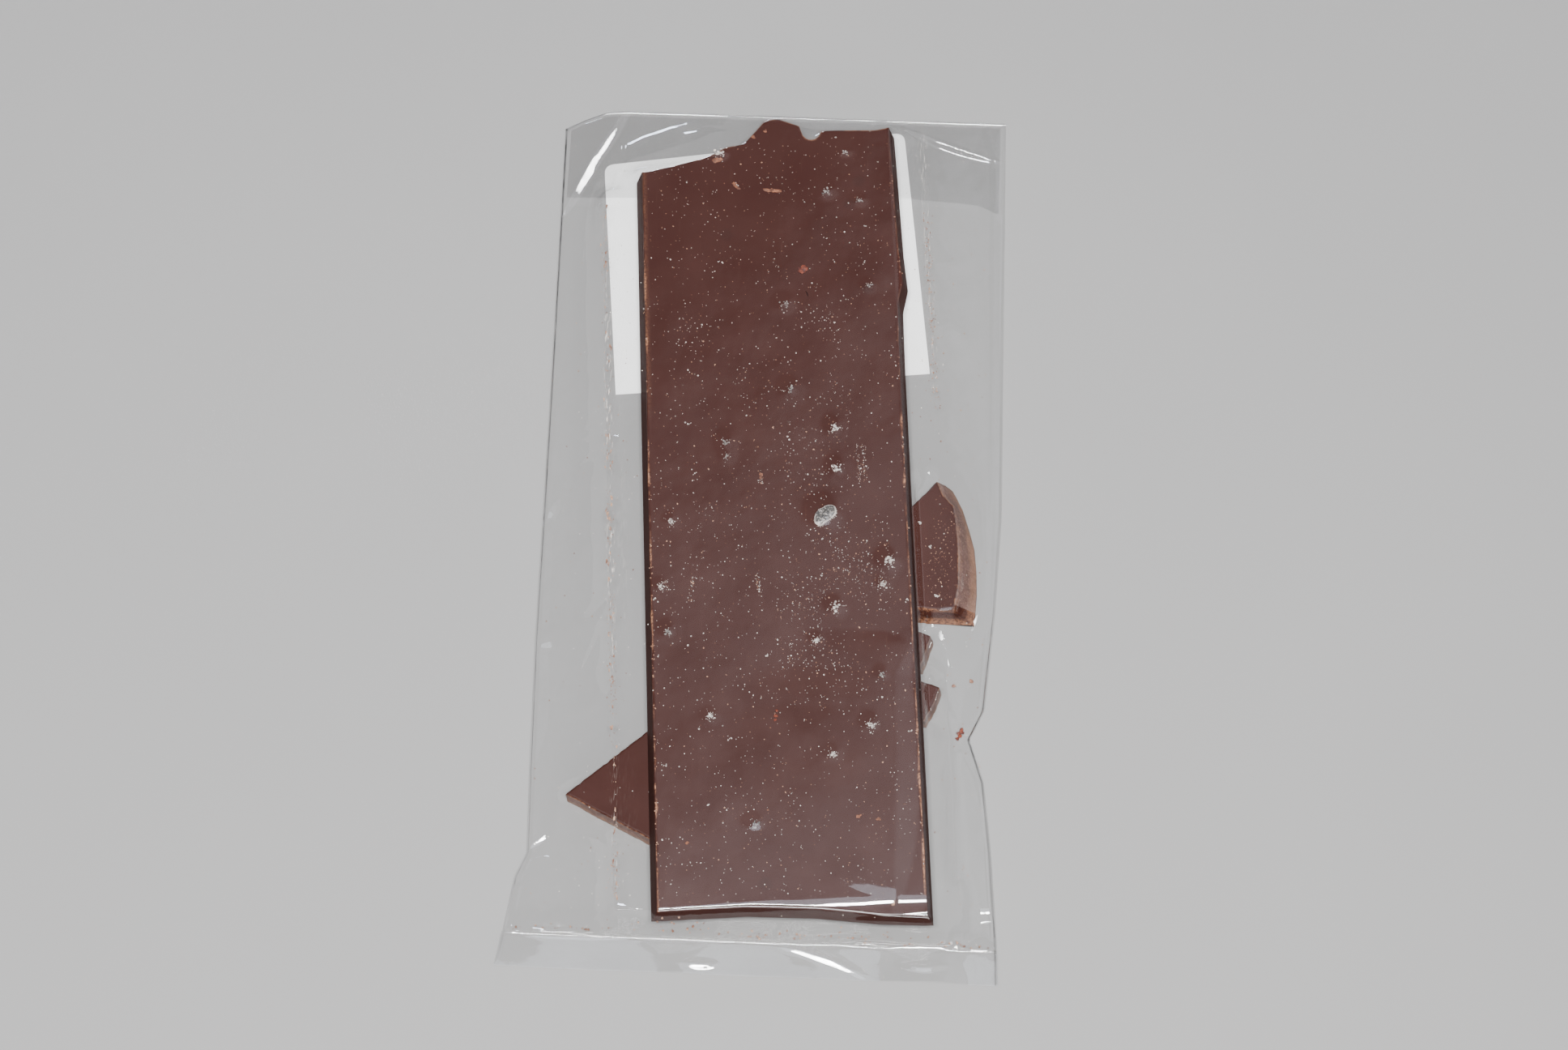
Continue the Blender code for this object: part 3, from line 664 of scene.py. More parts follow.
def creased_film(x, y, z, rest):
    """The relaxed film with its creases, its crumples where it hangs free, and ripples where it lies."""
    free = np.clip((z - rest) / 1.5, 0, 1)
    inward = np.minimum(x - left_edge(y), right_edge(y) - x)
    held = np.clip(inward / 6, 0, 1)
    crumple = 0.26 * faceted_noise(x, y, 19, 11) * free * held
    ripple = 0.07 + 0.05 * soft_noise(x, y, 13, 21) + 0.012 * soft_noise(x, y, 5, 22)
    pucker = np.exp(-(y - WELD_LINE) / 5)
    gathers = pucker * 0.16 * faceted_noise(x, y * 0.25, 7, 31)
    lifted = z + (crease_lift(x, y) + crumple + ripple + gathers) * np.clip(inward / 1.2, 0, 1)
    return np.maximum(lifted, np.minimum(rest, z))


def skirt_rows(x_row, fineness, layer):
    """The loose film beyond the weld, hem first: layer is 1 for the front film and -1 for the back."""
    share = np.linspace(1, 0, 8 * fineness + 1)[:-1, None]
    along = np.repeat(WELD_LINE - SKIRT_LENGTH * share, x_row.size, axis=1)
    across = columns_at(along, fineness)
    wave = hem_height(across) + 0.3 * layer + 0.3 * layer * soft_noise(across, along, 15, 41) * share
    crinkle = 0.05 * faceted_noise(across, along * 0.3, 9, 51 + layer) * share
    folds = crease_lift(across, along) * np.minimum(1, 5 * share)
    return across, along, WELD_HEIGHT * (1 - share) + (wave + crinkle) * share + folds


def rolled_edges(x, y, z):
    """The sheet with its side edges and its fold rolled under."""
    x[:, 0] += EDGE_INSET
    x[:, -1] -= EDGE_INSET
    y[-1] -= EDGE_INSET
    base_left, base_right = x[:, 0] - EDGE_INSET, x[:, -1] + EDGE_INSET
    lift = np.clip(z[:, 0] - EDGE_HEIGHT, 0, None)
    for inwards, height in EDGE_ROLL:
        x = np.column_stack([base_left + inwards, x, base_right - inwards])
        y = np.column_stack([y[:, 0], y, y[:, -1]])
        z = np.column_stack([height + lift, z, height + lift])
    far = y[-1] + EDGE_INSET
    for inwards, height in EDGE_ROLL:
        x = np.vstack([x, x[-1]])
        y = np.vstack([y, far - inwards])
        z = np.vstack([z, np.minimum(z[-1], height)])
    return x, y, z


def rubbed(x, y):
    """Where the film is rubbed and dusty: along the old crease, beside the slab and along the weld."""
    across, along = bag_to_slab(x, y)
    on_length = ramp(along, 2, 6) * ramp(along, 176, -8)
    # The crease fades where it runs over the left shard
    on_length = on_length * (1 - 0.85 * np.exp(-((along - LEFT_SHARD_ALONG) / 20) ** 4))
    worn = 0.35 + 0.65 * np.clip(0.4 + 1.4 * soft_noise(along, 0, 9, 65), 0, 1)
    left = (worn * bell(across, -CREASE_OFFSET, 0.8) + 0.1 * bell(across, -4.5, 1.5)) * on_length
    right = 0.5 * bell(across, SLAB_WIDTH + 6.5, 1.0) * ramp(along, 120, 8)
    return np.clip(left + right + 0.25 * bell(y, WELD_LINE, 0.6), 0, 1)


def front_film(film):
    """The front of the bag, from its hem to its fold, with the skirt's upper layer."""
    x, y, z, rest = relaxed_film()
    z = creased_film(x, y, z, rest)
    skirt = skirt_rows(x[0], FINENESS[-1], 1)
    x, y, z = (np.vstack([beyond, body]) for beyond, body in zip(skirt, (x, y, z)))
    heights = (x.copy(), y.copy(), z.copy())
    x, y, z = rolled_edges(x, y, z)
    piece = new_piece("film_front", stack(x, y, z), grid_faces(*x.shape), [film])
    paint(piece, "rub", rubbed(x, y))
    return piece, heights


# Back film and the folded end


def back_height(x, y):
    """The back film lies on the table, over the label and the folded end, and rises to the weld."""
    label = np.clip(depth_inside(x, y, LABEL_CORNERS) / 2 + 1, 0, 1)
    edge = np.interp(x, *zip(*FLAP_EDGE))
    folded = np.clip((y - edge) / 1.5 + 1, 0, 1) * np.clip((BAG_END - y) / 3, 0, 1)
    rise = np.exp(-(y - WELD_LINE) / 2.6)
    flat = 0.12 + 0.2 * label + 0.3 * folded + 0.05 * soft_noise(x, y, 14, 61)
    flat = flat + 0.12 * np.clip(faceted_noise(x, y, 22, 63), 0, 2)
    return flat * (1 - rise) + (WELD_HEIGHT - 0.12) * rise


def back_film(film):
    """The back of the bag and the skirt's lower layer."""
    x, y = film_plan(2)
    inset = EDGE_ROLL[-1][0]
    x[:, 0] += inset
    x[:, -1] -= inset
    y[-1] -= inset
    z = back_height(x, y)
    for edge in (z[:, 0], z[:, -1], z[-1]):
        edge[:] = np.where(edge < 1, EDGE_ROLL[-1][1], edge)
    skirt = skirt_rows(x[0], 2, -1)
    x, y, z = (np.vstack([beyond, body]) for beyond, body in zip(skirt, (x, y, z)))
    piece = new_piece("film_back", stack(x, y, z), grid_faces(*x.shape, facing=-1), [film])
    paint(piece, "rub", np.zeros(x.size))
    return piece


def flap_layer(share, along_far, lift, seed):
    """One layer of the folded end, from its cut edge to the fold."""
    across = np.linspace(-51.5, 51.8, 130)[None, :]
    near = np.interp(across, *zip(*FLAP_EDGE)) + 0.35 * soft_noise(across, 0, 7, seed)
    far = fold_at(across) - along_far
    y = near * (1 - share) + far * share
    x = np.repeat(across, len(share), axis=0)
    z = lift + 0.06 * soft_noise(x, y, 9, seed + 1) + 0.05 * faceted_noise(x, y, 12, seed + 2)
    return x, y, z


def folded_flap(film):
    """The bag's end, folded over to the back: two layers of film with their cut edges side by side."""
    share = np.linspace(0, 1, 34)[:, None]
    points, faces = [], []
    for along_far, lift, seed in ((1.0, 0.24, 71), (1.3, 0.34, 81)):
        x, y, z = flap_layer(share, along_far, lift, seed)
        faces += grid_faces(*x.shape, start=len(points) * x.size, facing=-1)
        points.append(stack(x, y, z))
    piece = new_piece("film_flap", np.vstack(points), faces, [film])
    paint(piece, "rub", np.zeros(len(piece.data.vertices)))
    return piece


# Chocolate


def crowded(length, step, edges):
    """Shares of a length at about this step, with extra ones at these distances from both ends."""
    inner = np.linspace(edges[-1], length - edges[-1], round((length - 2 * edges[-1]) / step) + 1)
    return np.array([*edges[:-1], *inner, *(length - edge for edge in reversed(edges[:-1]))]) / length


def far_left_rim(across, along):
    """Where the slab's rim stands up: on its left side, towards the break."""
    return ramp(along, 116, 8) * (across < SLAB_WIDTH / 2)


def slab_relief(across, along, from_long_edge, from_near_end):
    """Height of the top face over its plane: a thin lip along the mould's edges, and shallow dents."""
    ragged = 0.5 + 0.5 * soft_noise(along, across, 1.3, 101) + 0.4 * soft_noise(along, across, 6, 102)
    lip = 0.2 * np.maximum(ragged, 0) * bell(from_long_edge, 0.3, 0.2)
    rim = 0.24 * far_left_rim(across, along) * bell(from_long_edge, 0.55, 0.32)
    worn = 0.12 * ramp(from_long_edge, 0.12, -0.12) + 0.2 * ramp(from_near_end, 0.35, -0.35) ** 2
    wave = 0.035 * soft_noise(across, along, 13, 103) + 0.01 * soft_noise(across, along, 4, 104)
    dents = 0.16 * soft_noise(across, along, 4.5, 105) * bell(across, 58.5, 2.6)
    dents = dents * ramp(along, 138, 8) * ramp(along, 176, -8)
    return lip + rim - worn + wave + dents


def burr(across, along, from_long_edge):
    """Where the crumbly burr shows on the mould's long edges: a thin line with thicker stretches."""
    side = (across > SLAB_WIDTH / 2) * 50.0
    strength = 0.12 + 0.7 * soft_noise(along, side, 9, 106) + 0.8 * soft_noise(along, side, 1.6, 107)
    strength = strength * (0.25 + 0.75 * ramp(along, 150, -45))
    width = 0.13 + 0.06 * soft_noise(along, side, 2.4, 108)
    for on_right, place, reach in BURR_PATCHES:
        thick = bell(along, place, reach) * ((side > 0) == bool(on_right))
        strength = strength + 1.3 * thick
        width = width + 0.12 * thick
    middle = 0.28 + 0.1 * soft_noise(along, side, 5, 110)
    return np.clip(strength, 0, 1) * np.clip(1.4 - np.abs(from_long_edge - middle) / width, 0, 1)


def slab_sides(across, along, top, outwards, nearwards, broken):
    """Rings of the slab's sides from under the top edge down to the foot, leaning out with the draft."""
    around = across + along
    rings = []
    for step in range(1, SLAB_SIDE_RINGS + 1):
        share = step / SLAB_SIDE_RINGS
        down = share * SLAB_THICKNESS
        rough = broken * math.sin(math.pi * min(1, share * 1.2)) ** 0.5
        bite = 0.38 * soft_noise(around, down, 1.7, 111) + 0.16 * soft_noise(around, down, 0.6, 112)
        x, y = slab_to_bag(across + outwards * share, along + nearwards * share + bite * rough)
        rings.append(stack(x, y, top * (1 - share) + slab_underside(y) * share))
    return rings


def slab(moulded, broken, side):
    """The long slab: a moulded face and sides, and a rough upright break at its far end."""
    shares = crowded(SLAB_WIDTH - 2 * SLAB_DRAFT, 0.74, SLAB_EDGE_STEPS)[None, :]
    steps = crowded(SLAB_LENGTH, 0.78, SLAB_EDGE_STEPS[:-1])[:, None]
    v = steps * SLAB_LENGTH
    # The sides and the ends each depend on where the others are
    for _ in range(2):
        u = SLAB_DRAFT + shares * (slab_right(v) - SLAB_DRAFT)
        near = slab_near(u) + NEAR_DRAFT
        v = near + steps * (slab_far(u) - near)
    u = SLAB_DRAFT + shares * (slab_right(v) - SLAB_DRAFT)
    from_long_edge = np.minimum(u - SLAB_DRAFT, slab_right(v) - u)
    x, y = slab_to_bag(u, v)
    z = slab_top(y) + slab_relief(u, v, from_long_edge, v - near)
    at = np.arange(u.size).reshape(u.shape)
    edges = [at[0, :-1], at[:-1, -1], at[-1, :0:-1], at[:0:-1, 0]]
    ring = np.concatenate(edges)
    edge_of = np.repeat(range(4), [len(edge) for edge in edges])
    on_near, on_right, on_far, on_left = (np.where(edge_of == edge, 1.0, 0.0) for edge in range(4))
    # Three of the corners belong to both of their sides
    corners = np.flatnonzero(np.diff(edge_of, prepend=-1))
    on_left[corners[0]] = 1.0
    on_near[corners[1]] = 1.0
    on_right[corners[2]] = 1.0
    rim = [values.ravel()[ring] for values in (u, v, z)]
    sides = slab_sides(*rim, SLAB_DRAFT * (on_right - on_left), -NEAR_DRAFT * on_near, on_far)
    count = len(ring)
    rings = [ring, *(u.size + step * count + np.arange(count) for step in range(len(sides)))]
    faces = grid_faces(*u.shape)
    slots = [0] * len(faces) + np.where(on_far > 0, 1, 2).tolist() * len(sides) + [0]
    faces += bands(rings) + [rings[-1][::-1].tolist()]
    points = np.vstack([stack(x, y, z), *sides])
    piece = new_piece("slab", points, faces, [moulded, broken, side], slots, sharp=38)
    break_edge = 0.5 * ramp(slab_far(u) - v, 0.25, -0.25) * (soft_noise(u, v, 1.1, 109) > -0.1)
    from_notch = np.hypot(u - NOTCH_CENTRE[0], v - NOTCH_CENTRE[1]) - NOTCH_RADIUS
    notch_rim = 0.6 * ramp(from_notch, 0.4, -0.4)
    # Painted highlight: the raised rim on the left, towards the break, is tinted lighter with the lip's tan,
    # for the light that it catches
    painted_ridge_highlight = 0.14 * far_left_rim(u, v) * bell(from_long_edge, 0.6, 0.4)
    lip = np.max([burr(u, v, from_long_edge), break_edge, notch_rim, painted_ridge_highlight], axis=0)
    paint(piece, "lip", np.concatenate([lip.ravel(), np.zeros(count * len(sides))]))
    return piece


def shard_relief(name, x, y, depth):
    """Height of a shard's top face: a rounded rim, and on the right shard a long curved groove."""
    rim = -0.35 * ramp(depth, 0.35, -0.35) ** 2
    wave = 0.05 * soft_noise(x, y, 6, 121) + 0.008 * soft_noise(x, y, 1.6, 122)
    if name != "right_shard":
        return rim + wave
    away, side, share = beside_line(x, y, SHARD_GROOVE)
    hollow = -0.3 * bell(away, 0, np.where(side > 0, 2.0, 3.0)) * np.clip(share * 2.2, 0, 1)
    return rim + wave + hollow


def shard(name, outline, spread, moulded, broken, side):
    """A shard: its top face in rings round its middle, and rough sides down to a wider foot."""
    line = resampled(outline + outline[:1], SHARD_STEP)
    turn = sum(a[0] * b[1] - b[0] * a[1] for a, b in zip(line, line[1:] + line[:1]))
    line = np.array(line if turn > 0 else line[::-1])
    right, near = line[:, 0].max(), line[:, 1].min()
    middle = line.mean(axis=0)
    outwards = np.roll(line, -1, axis=0) - np.roll(line, 1, axis=0)
    outwards = np.column_stack([outwards[:, 1], -outwards[:, 0]])
    outwards /= np.linalg.norm(outwards, axis=1)[:, None]
    count = len(line)
    around = np.arange(count) * SHARD_STEP
    ragged = 0.10 * soft_noise(around, 0, 1.1, 131) + 0.05 * soft_noise(around, 0, 0.5, 132)
    line = line + outwards * ragged[:, None]
    closed = [tuple(point) for point in line.tolist()]
    points = []
    for share in SHARD_TOP_RINGS:
        plan = middle + (line - middle) * share
        depth = np.maximum(depth_inside(*plan.T, closed), 0) * (share < 1)
        points.append(np.column_stack([plan, SHARD_TOP + shard_relief(name, *plan.T, depth)]))
    top = points[-1][:, 2]
    reach = spread[0]
    if name == "right_shard":
        reach = np.interp(line[:, 1], *zip(*RIGHT_SHARD_FOOT)) - line[:, 0]
    out = np.where(right - line[:, 0] < BROKEN_SIDE_DEPTH, reach, 0.0)
    back = np.where(line[:, 1] - near < BROKEN_END_DEPTH, spread[1], 0.0)
    for step in range(1, SHARD_SIDE_RINGS + 1):
        share = step / SHARD_SIDE_RINGS
        down = share * SHARD_THICKNESS
        rough = 0.30 * soft_noise(around, down, 1.9, 133) + 0.10 * soft_noise(around, down, 0.55, 134)
        plan = line + np.column_stack([out, back]) * share ** 0.85
        plan = plan + outwards * (rough * math.sin(math.pi * min(1, share * 1.1)))[:, None]
        points.append(np.column_stack([plan, top * (1 - share) + SHARD_FLOOR * share]))
    rings = np.arange(count * len(points)).reshape(-1, count)
    # The near side of a shard is a moulded one
    side_slots = np.where(back != 0, 2, 1).tolist()
    slots = [0] * count * (len(SHARD_TOP_RINGS) - 1) + side_slots * SHARD_SIDE_RINGS + [0] * count + [1]
    faces = bands(rings) + [[i, (i + 1) % count, rings.size] for i in range(count)]
    faces.append(rings[-1, ::-1].tolist())
    points.append(points[0].mean(axis=0)[None, :])
    piece = new_piece(name, np.vstack(points), faces, [moulded, broken, side], slots, sharp=42)
    patchy = 0.5 + 0.6 * soft_noise(around, 0, 1.4, 135) + 0.5 * soft_noise(around, 0, 0.5, 136)
    patchy = np.clip(patchy, 0, 1)
    lip = [0.8 * patchy * (share > 0.99) for share in SHARD_TOP_RINGS]
    levels = np.interp(range(SHARD_SIDE_RINGS), *zip(*SHARD_SIDE_LIP))
    lip += [levels[0] * patchy, *(level * np.ones(count) for level in levels[1:-1]), levels[-1] * patchy]
    paint(piece, "lip", np.concatenate([*lip, [0.0]]))
    return piece


# Grains: salt, crumbs and flakes


def add(tree, kind, inputs=None, **settings):
    """Adds a node: settings are its own properties, and each input is a node, a socket or a value.
    A node gives its first output that is in use, and #rrggbb is a colour."""
    made = tree.nodes.new(kind)
    for name, value in settings.items():
        setattr(made, name, value)
    for socket, value in (inputs or {}).items():
        if isinstance(value, bpy.types.Node):
            value = next(output for output in value.outputs if output.enabled)
        if isinstance(value, bpy.types.NodeSocket):
            tree.links.new(value, made.inputs[socket])
        elif isinstance(value, str) and value.startswith("#"):
            made.inputs[socket].default_value = colour(value)
        elif value is not None:
            made.inputs[socket].default_value = value
    return made


def grain_tree():
    """Geometry Nodes: a faceted lump on each point, with the point's own size and turn."""
    tree = bpy.data.node_groups.new("grains", "GeometryNodeTree")
    wanted = {
        "Places": "Geometry", "Detail": "Int", "Lumpiness": "Float", "Seed": "Int", "Material": "Material",
    }
    for name, kind in wanted.items():
        tree.interface.new_socket(name, in_out="INPUT", socket_type="NodeSocket" + kind)
    tree.interface.new_socket("Grains", in_out="OUTPUT", socket_type="NodeSocketGeometry")
    given = add(tree, "NodeGroupInput").outputs
    lump = add(tree, "GeometryNodeMeshIcoSphere", {"Radius": 0.5, "Subdivisions": given["Detail"]})
    turn = add(tree, "GeometryNodeInputNamedAttribute", {"Name": "turn"}, data_type="FLOAT_VECTOR")
    size = add(tree, "GeometryNodeInputNamedAttribute", {"Name": "size"}, data_type="FLOAT_VECTOR")
    placed = add(tree, "GeometryNodeInstanceOnPoints", {
        "Points": given["Places"], "Instance": lump, "Rotation": turn, "Scale": size,
    })
    real = add(tree, "GeometryNodeRealizeInstances", {"Geometry": placed})
    jolt = add(tree, "FunctionNodeRandomValue", {
        0: (-1.0, -1.0, -1.0), 1: (1.0, 1.0, 1.0), "Seed": given["Seed"],
    }, data_type="FLOAT_VECTOR")
    shift = add(tree, "ShaderNodeVectorMath", {0: jolt, 1: size}, operation="MULTIPLY")
    scaled = add(tree, "ShaderNodeVectorMath", {0: shift, "Scale": given["Lumpiness"]}, operation="SCALE")
    lumpy = add(tree, "GeometryNodeSetPosition", {"Geometry": real, "Offset": scaled})
    coated = add(tree, "GeometryNodeSetMaterial", {"Geometry": lumpy, "Material": given["Material"]})
    add(tree, "NodeGroupOutput", {"Grains": coated})
    return tree


def scatter(name, tree, grains, material, detail, lumpiness, seed):
    """Bakes grains, each (x, y, z, (length, width, height), turn, how clear), into one plain mesh."""
    obj = new_piece(name, [grain[:3] for grain in grains], [], [])
    sizes = MM * np.array([grain[3] for grain in grains])
    turns = np.array([grain[4] for grain in grains])
    for label, values in (("size", sizes), ("turn", turns)):
        attribute = obj.data.attributes.new(label, "FLOAT_VECTOR", "POINT")
        attribute.data.foreach_set("vector", values.astype(np.float32).ravel())
    paint(obj, "clear", [grain[5] for grain in grains])
    modifier = obj.modifiers.new("grains", "NODES")
    modifier.node_group = tree
    wanted = {"Detail": detail, "Lumpiness": lumpiness, "Seed": seed, "Material": material}
    for item in tree.interface.items_tree:
        if item.name in wanted:
            modifier[item.identifier] = wanted[item.name]
    made = bpy.data.meshes.new_from_object(obj.evaluated_get(bpy.context.evaluated_depsgraph_get()))
    obj.modifiers.remove(modifier)
    obj.data = made
    made.name = name
    return obj


def grain(rng, x, y, z, size, flatness=0.7, clear=0.0):
    """A grain lying on a face at height z, a little sunk in it."""
    shape = size * rng.uniform(0.75, 1.25, 3) * np.array([1, 1, flatness])
    turn = (rng.uniform(-0.3, 0.3), rng.uniform(-0.3, 0.3), rng.uniform(0, 6.28))
    return (float(x), float(y), float(z) + 0.25 * shape[2], tuple(shape), turn, clear)


def on_slab(across, along):
    x, y = slab_to_bag(across, along)
    return x, y, slab_top(y)


def heap(rng, place, size, count, spread, sizes, clear=(0.0, 0.0)):
    """Grains round a place on the slab."""
    grains = []
    for _ in range(count):
        across, along = rng.normal(place, spread * size)
        size_here = rng.uniform(*sizes)
        grains.append(grain(rng, *on_slab(across, along), size_here, clear=rng.uniform(*clear)))
    return grains


def dust_places(rng):
    """Where dust lies on the slab: all over it, thicker in patches, and in a few streaks."""
    places = [rng.uniform((2, 2.5), (60, 190)) for _ in range(DUST_COUNT)]
    for across, along, spread, count in DUST_PATCHES:
        places += [rng.normal((across, along), 1.25 * spread) for _ in range(count)]
    for start, end, count in DUST_STREAKS:
        for _ in range(count):
            share = rng.random()
            middle = np.array(start) * (1 - share) + np.array(end) * share
            places.append(rng.normal(middle, (0.3, 0.3)))
    return [(a, b) for a, b in places if 1.6 < a < 60 and 1 < b < slab_far(a) - 0.5]


def dust_grain(rng, place):
    size = rng.choice([0.15, 0.22, 0.36], p=[0.7, 0.25, 0.05]) * rng.uniform(0.8, 1.2)
    return grain(rng, *on_slab(*place), size, clear=rng.uniform(0.0, 0.65))


def salt_grains(rng, dust):
    """Clumps of small broken crystals on the slab, single ones, and fine salt dust."""
    grains = [dust_grain(rng, place) for place in dust]
    for *place, size in SALT_HEAPS:
        grains += heap(rng, place, size, 12, 0.17, (0.14 * size, 0.26 * size), (0.0, 0.5))
        grains += heap(rng, place, size, 16, 0.27, (0.15, 0.32), (0.0, 0.7))
        grains += heap(rng, place, size, 14, 0.5, (0.1, 0.17))
    for *place, size in SUNK_HEAPS:
        grains += heap(rng, place, size, 9, 0.19, (0.13 * size, 0.24 * size), (0.7, 1.0))
        grains += heap(rng, place, size, 12, 0.24, (0.13, 0.26), (0.2, 0.9))
    for place in SALT_SPECKS:
        grains += heap(rng, place, 0.3, 4, 1.0, (0.24, 0.42), (0.0, 0.7))
    for place in resampled(WHOLE_CRYSTAL + WHOLE_CRYSTAL[:1], 0.3):
        # The whole crystal's side towards the weld and the right has crumbled most
        if place[0] - place[1] > WHOLE_CRYSTAL_MIDDLE[0] - WHOLE_CRYSTAL_MIDDLE[1] - 0.5:
            grains += heap(rng, place, 0.15, 2, 1.0, (0.12, 0.28), (0.0, 0.7))
    for *middle, size in SALT_ON_SHARD:
        for _ in range(7):
            place = rng.normal(middle, 0.22)
            size_here = rng.uniform(0.3, 0.5) * size
            grains.append(grain(rng, *place, SHARD_TOP, size_here, clear=rng.uniform(0, 0.6)))
    return grains


def chip_grains(rng):
    """Chips broken off the slab's edges, lying on its face: five flakes make each."""
    grains = []
    for across, along, length, width, turn in CHIPS:
        x, y, z = on_slab(across, along)
        turn = turn + SLAB_TURN
        c, s = math.cos(turn), math.sin(turn)
        for _ in range(5):
            a, b = rng.normal(0, 0.22, 2) * (length, width)
            shape = (0.6 * length * rng.uniform(0.6, 1), 0.7 * width * rng.uniform(0.6, 1), 0.3)
            lean = (rng.uniform(-0.2, 0.2), rng.uniform(-0.2, 0.2), turn + rng.normal(0, 0.3))
            grains.append((x + a * c - b * s, y + a * s + b * c, z + 0.08, shape, lean, 0.0))
    return grains


def crumb_grains(rng, dust, film_height):
    """Chocolate dust over the slab, crumbs along its lips, and loose crumbs under the film."""
    grains = [dust_grain(rng, place) for place in dust]
    for _ in range(EDGE_CRUMBS):
        along = rng.uniform(2, 180)
        across = SLAB_DRAFT + 0.3 + rng.normal(0, 0.15)
        if rng.random() < 0.5:
            across = slab_right(along) - 0.3 + rng.normal(0, 0.15)
        patch = soft_noise(along, 40 * (across > 30), 7, 152)
        if along < slab_far(across) and patch > rng.uniform(-0.6, 0.6):
            grains.append(grain(rng, *on_slab(across, along), rng.uniform(0.16, 0.42)))
    # Rubbed into the film's old crease
    for _ in range(FILM_CRUMBS):
        along = rng.uniform(4, 174)
        if soft_noise(along, 0, 8, 153) > rng.uniform(-0.8, 0.7):
            x, y = slab_to_bag(-CREASE_OFFSET + rng.normal(0, 0.55), along)
            length = rng.choice([0.2, 0.35, 1.1], p=[0.55, 0.3, 0.15]) * rng.uniform(0.7, 1.3)
            turn = SLAB_TURN + math.pi / 2 + rng.normal(0, 0.08)
            grains.append((x, y, film_height(x, y) - 0.3, (length, 0.16, 0.14), (0, 0, turn), 0.0))
    # Under the film right of the slab's far end, and in the corner along the weld
    for _ in range(FAR_CRUMBS):
        along = rng.uniform(120, 172)
        x, y = slab_to_bag(SLAB_WIDTH + 6.5 + rng.normal(0, 0.5), along)
        grains.append(grain(rng, x, y, film_height(x, y) - 0.35, rng.uniform(0.14, 0.4)))
    for _ in range(WELD_CRUMBS):
        x, y = rng.uniform(-52, 53), WELD_LINE + abs(rng.normal(0, 0.7)) + 0.5
        grains.append(grain(rng, x, y, film_height(x, y) - 0.4, rng.uniform(0.2, 0.6)))
    # On the back film, beside the slab
    for _ in range(LOOSE_CRUMBS):
        x, y = rng.uniform(-50, 51), rng.uniform(-92, 80)
        if not -1 < bag_to_slab(x, y)[0] < SLAB_WIDTH + 1:
            grains.append(grain(rng, x, y, 0.25, rng.uniform(0.14, 0.34)))
    grains += [grain(rng, x, y, 0.4, 0.9) for x, y in CRUMBS_IN_BAG]
    for _ in range(SHARD_CRUMBS):
        x, y = rng.normal(40.4, 1.8), rng.normal(-9.0, 7.0)
        if depth_inside(np.array([x]), np.array([y]), RIGHT_SHARD)[0] > 0.3:
            grains.append(grain(rng, x, y, SHARD_TOP, rng.uniform(0.12, 0.26)))
    grains.append(grain(rng, *on_slab(*CRUMB_ON_SLAB), 1.2))
    return grains


def chili_grains(rng):
    """Thin dried flakes, curled by their lumps."""
    grains = []
    for across, along, size in CHILI_ON_SLAB:
        x, y, z = on_slab(across, along)
        grains.append((x, y, z + 0.15, (1.3 * size, size, 0.4), (0.1, 0.1, rng.uniform(0, 3)), 0.0))
    for x, y in CHILI_IN_BAG:
        grains.append((x, y, 0.7, (0.9, 0.75, 0.5), (0.2, 0.1, rng.uniform(0, 3)), 0.0))
    return grains


def whole_crystal(salt):
    """The one large salt crystal: a low lump with a rounded rim and a pitted, facetted top."""
    line = np.array(resampled(WHOLE_CRYSTAL + WHOLE_CRYSTAL[:1], 0.2))
    for _ in range(3):
        line = (np.roll(line, 1, axis=0) + 2 * line + np.roll(line, -1, axis=0)) / 4
    middle = line.mean(axis=0)
    points, clear = [], []
    for share, height in WHOLE_CRYSTAL_RINGS:
        x, y = slab_to_bag(*(middle + (line - middle) * share).T)
        pits = 0.12 * soft_noise(x, y, 0.9, 143) + 0.05 * soft_noise(x, y, 0.4, 144)
        points.append(stack(x, y, slab_top(y) + height + pits * (height > 0.5)))
        ragged = 0.12 * soft_noise(x, y, 0.6, 145) + 0.08 * soft_noise(x, y, 0.3, 146)
        clear.append(np.clip((0.98 - share + 0.6 * ragged) / 0.1, 0, 1))
    rings = np.arange(len(line) * len(points)).reshape(-1, len(line))
    # Its outline runs clockwise, so the bands face outwards as they are
    faces = bands(rings) + [rings[-1, ::-1].tolist(), rings[0].tolist()]
    piece = new_piece("salt_crystal", np.vstack(points), faces, [salt], sharp=24)
    paint(piece, "clear", np.concatenate(clear))
    return piece


# Label


def label_outline():
    low_left, low_right, far_right, far_left = (Vector(corner) for corner in LABEL_CORNERS)
    points = [low_left, low_right]
    for corner, before, after in ((far_right, low_right, far_left), (far_left, far_right, low_left)):
        start = corner + (before - corner).normalized() * LABEL_ROUNDING
        end = corner + (after - corner).normalized() * LABEL_ROUNDING
        for t in np.linspace(0, 1, 9):
            points.append(start * (1 - t) ** 2 + corner * 2 * t * (1 - t) + end * t ** 2)
    return [tuple(point) for point in points]


def paper_label(paper):
    """The label: a thin closed sheet of paper with a slight buckle."""
    outline = label_outline()
    line = np.array(resampled(outline + outline[:1], 1.2))
    middle = line.mean(axis=0)
    points = []
    for rise in (0.0, LABEL_THICKNESS):
        for share in np.linspace(0.03, 1, 34):
            plan = middle + (line - middle) * share
            points.append(np.column_stack([plan, 0.03 * soft_noise(*plan.T, 11, 161) + 0.03 + rise]))
    under, upper = np.arange(len(points) * len(line)).reshape(2, -1, len(line))
    faces = [face[::-1] for face in bands(under)] + [under[0, ::-1].tolist()]
    faces += bands(upper) + [upper[0].tolist()] + bands([upper[-1], under[-1]])
    return new_piece("label_paper", np.vstack(points), faces, [paper], sharp=40)


# Materials


